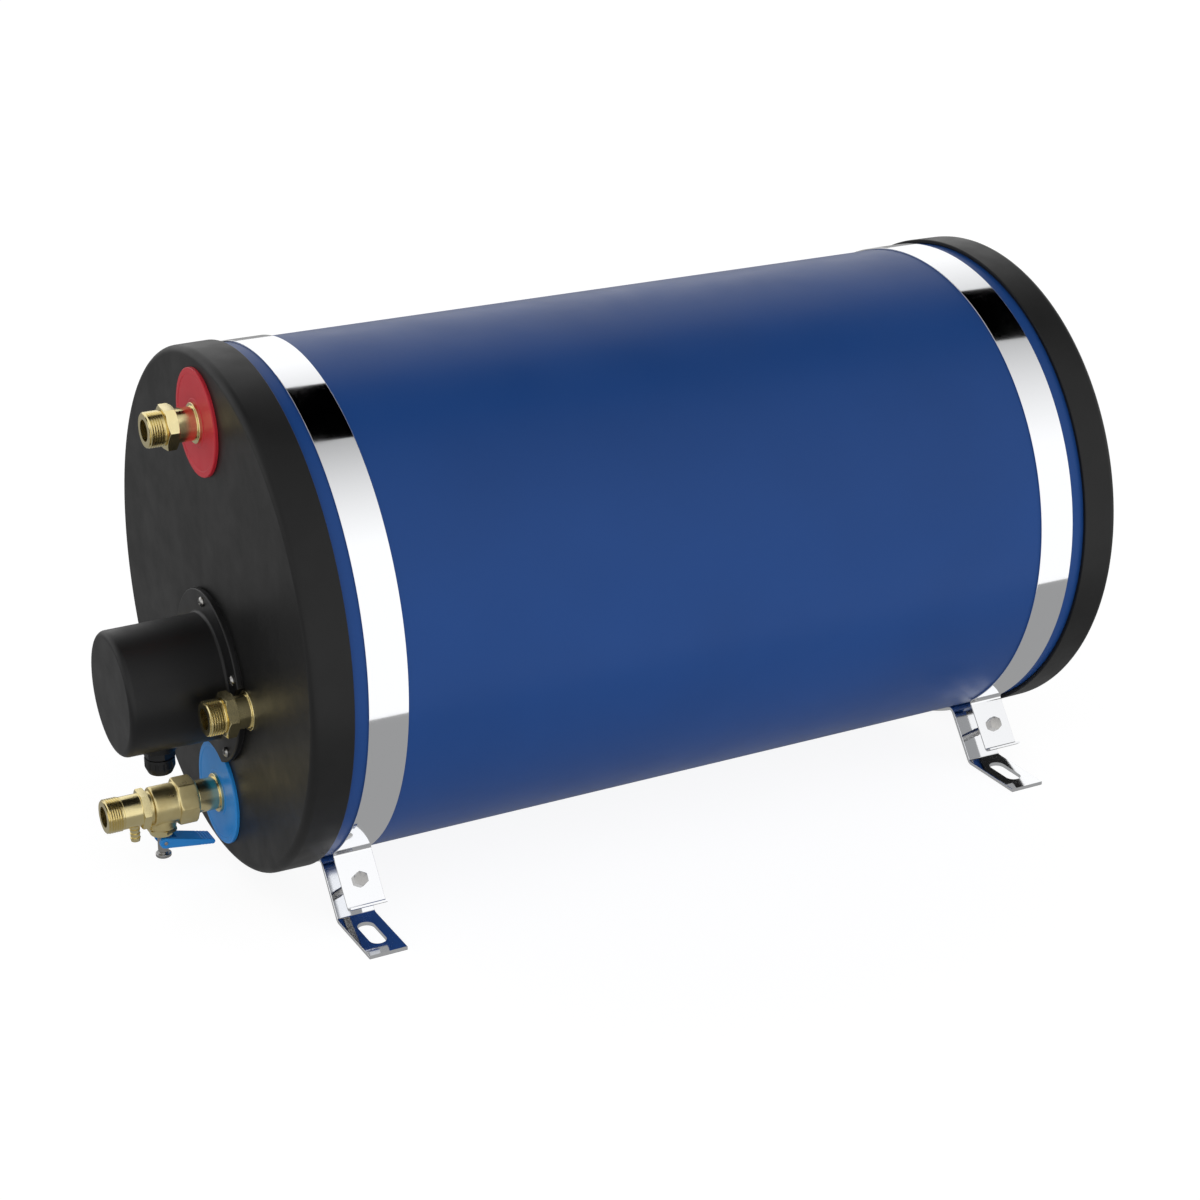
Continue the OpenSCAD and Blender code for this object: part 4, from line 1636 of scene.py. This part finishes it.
@dataclass(frozen=True)
class Studio:
    """White room: a pale floor, a bright horizon, and a darker ceiling with one black card in it."""

    floor_size: float = 30.0
    floor_white: float = 0.9
    floor_shade: float = 0.2
    floor_paint: float = 0.8
    bounce: float = 0.3
    # mirrors see a painted shadow on the floor: a grey glow up to a slanted line just past the heater's side,
    # where its shade falls, and room-white light beyond
    painted_floor_shadow: float = 0.33
    painted_shadow_edge: float = 0.442
    painted_shadow_slant: float = 0.077
    room: float = 1.06
    ceiling: float = 0.42
    ceiling_width: float = 0.72
    ceiling_rise: tuple[float, float] = (0.15, 0.55)
    card_middle: tuple[float, float] = (-0.25, 0.59)
    card_half: tuple[float, float] = (0.32, 1.2)
    card_turn: float = -16.0
    card_low: float = 0.05

    def build(self) -> None:
        """Builds the floor and the light."""
        bpy.context.scene.view_settings.view_transform = "Standard"
        self._floor()
        self._sky()

    @staticmethod
    def _math(tree: NodeTree, operation: str, *values: object) -> Node:
        """Adds a node that works out a number."""
        return add_node(tree, "Math", dict(enumerate(values)), operation=operation)

    @staticmethod
    def _glow(tree: NodeTree, strength: object) -> Node:
        """Adds white light of a strength."""
        return add_node(tree, "Emission", {"Color": (1, 1, 1, 1), "Strength": strength})

    def _floor(self) -> None:
        """Lays the pale floor. Mirrors see a painted shadow on it, a grey glow on the heater's side of a
        slanted line, and white beyond.
        """
        sheet = Solid()
        bmesh.ops.create_grid(sheet.mesh, x_segments=1, y_segments=1, size=self.floor_size / 2)
        floor = bpy.data.objects.new("floor", sheet.to_mesh("floor"))
        bpy.context.scene.collection.objects.link(floor)
        paint = bpy.data.materials.new("pale_floor_painted_shadow")
        paint.use_nodes = True
        tree = paint.node_tree
        tree.nodes.clear()
        ray = add_node(tree, "LightPath").outputs
        tints = [(*[level] * 3, 1) for level in (self.floor_paint, self.floor_shade)]
        paper, faint = (add_node(tree, "BsdfDiffuse", {"Color": tint}) for tint in tints)
        place = add_node(tree, "TexCoord").outputs["Object"]
        # painted shadow, seen only in reflections: the floor glows grey up to a slanted line past the heater
        # and room-white beyond it
        slant = (1, self.painted_shadow_slant, 0)
        across = add_node(tree, "VectorMath", {0: place, 1: slant}, operation="DOT_PRODUCT")
        far = self._math(tree, "GREATER_THAN", across, self.painted_shadow_edge)
        mirrored_floor_glow = add_node(tree, "Mix", {0: far, 2: self.painted_floor_shadow, 3: self.room})
        matt = add_node(tree, "AddShader", {0: paper, 1: self._glow(tree, self.bounce)})
        seen = add_node(tree, "AddShader", {0: self._glow(tree, self.floor_white), 1: faint})
        gloss = add_node(tree, "MixShader", {0: ray["Is Glossy Ray"], 1: matt, 2: self._glow(tree, mirrored_floor_glow)})
        both = add_node(tree, "MixShader", {0: ray["Is Camera Ray"], 1: gloss, 2: seen})
        add_node(tree, "OutputMaterial", {"Surface": both})
        floor.data.materials.append(paint)

    def _sky(self) -> None:
        """Lights the room from its walls and ceiling."""
        world = bpy.data.worlds.new("studio")
        bpy.context.scene.world = world
        world.use_nodes = True
        tree = world.node_tree
        tree.nodes.clear()
        way = add_node(tree, "TexCoord").outputs["Generated"]
        x, y, height = add_node(tree, "SeparateXYZ", {0: way}).outputs
        overhead = add_node(tree, "MapRange", {
            "Value": self._math(tree, "ABSOLUTE", x), "From Min": 0.0, "From Max": self.ceiling_width,
            "To Min": self.ceiling, "To Max": self.room,
        })
        low, high = self.ceiling_rise
        rise = add_node(tree, "MapRange", {
            "Value": height, "From Min": low, "From Max": high, "To Min": 0.0, "To Max": 1.0,
        }, interpolation_type="SMOOTHSTEP")
        fall = add_node(tree, "Mix", {0: rise, 2: self.room, 3: overhead})
        # the card is laid out on a plane above the tank, which each direction meets at (x, y) / height
        flat = add_node(tree, "CombineXYZ", {
            i: self._math(tree, "DIVIDE", axis, height) for i, axis in enumerate((x, y))
        })
        middle = (*self.card_middle, 0)
        card = add_node(tree, "VectorRotate", {
            "Vector": flat, "Center": middle, "Angle": math.radians(-self.card_turn),
        }, rotation_type="Z_AXIS")
        offset = add_node(tree, "VectorMath", {0: card, 1: middle}, operation="SUBTRACT")
        sides = add_node(tree, "SeparateXYZ", {
            0: add_node(tree, "VectorMath", {0: offset}, operation="ABSOLUTE"),
        }).outputs
        black = self._math(tree, "GREATER_THAN", height, self.card_low)
        for side, half in zip(sides, self.card_half):
            black = self._math(tree, "MULTIPLY", black, self._math(tree, "LESS_THAN", side, half))
        room = add_node(tree, "Mix", {0: black, 2: fall, 3: 0.0})
        ray = add_node(tree, "LightPath").outputs["Is Camera Ray"]
        level = add_node(tree, "Mix", {0: ray, 2: room, 3: 1.0})
        light = add_node(tree, "Background", {"Color": (1, 1, 1, 1), "Strength": level})
        add_node(tree, "OutputWorld", {"Surface": light})


def main() -> None:
    """Builds the studio and the heater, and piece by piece."""
    logging.basicConfig(level=logging.INFO, format="%(name)s: %(message)s")
    Camera().build()
    Studio().build()
    datum = Datum.from_frame()
    Jacket(datum).build()
    EndCap(datum, "front_cap", outward=-1).build()
    EndCap(datum, "rear_cap", outward=1).build()
    for end in ("front", "rear"):
        ClampStrap(datum, end).build()
    PipeEnds(datum).build()
    HeaterCover(datum).build()
    SafetyValve().build()


if __name__ == "__main__":
    main()
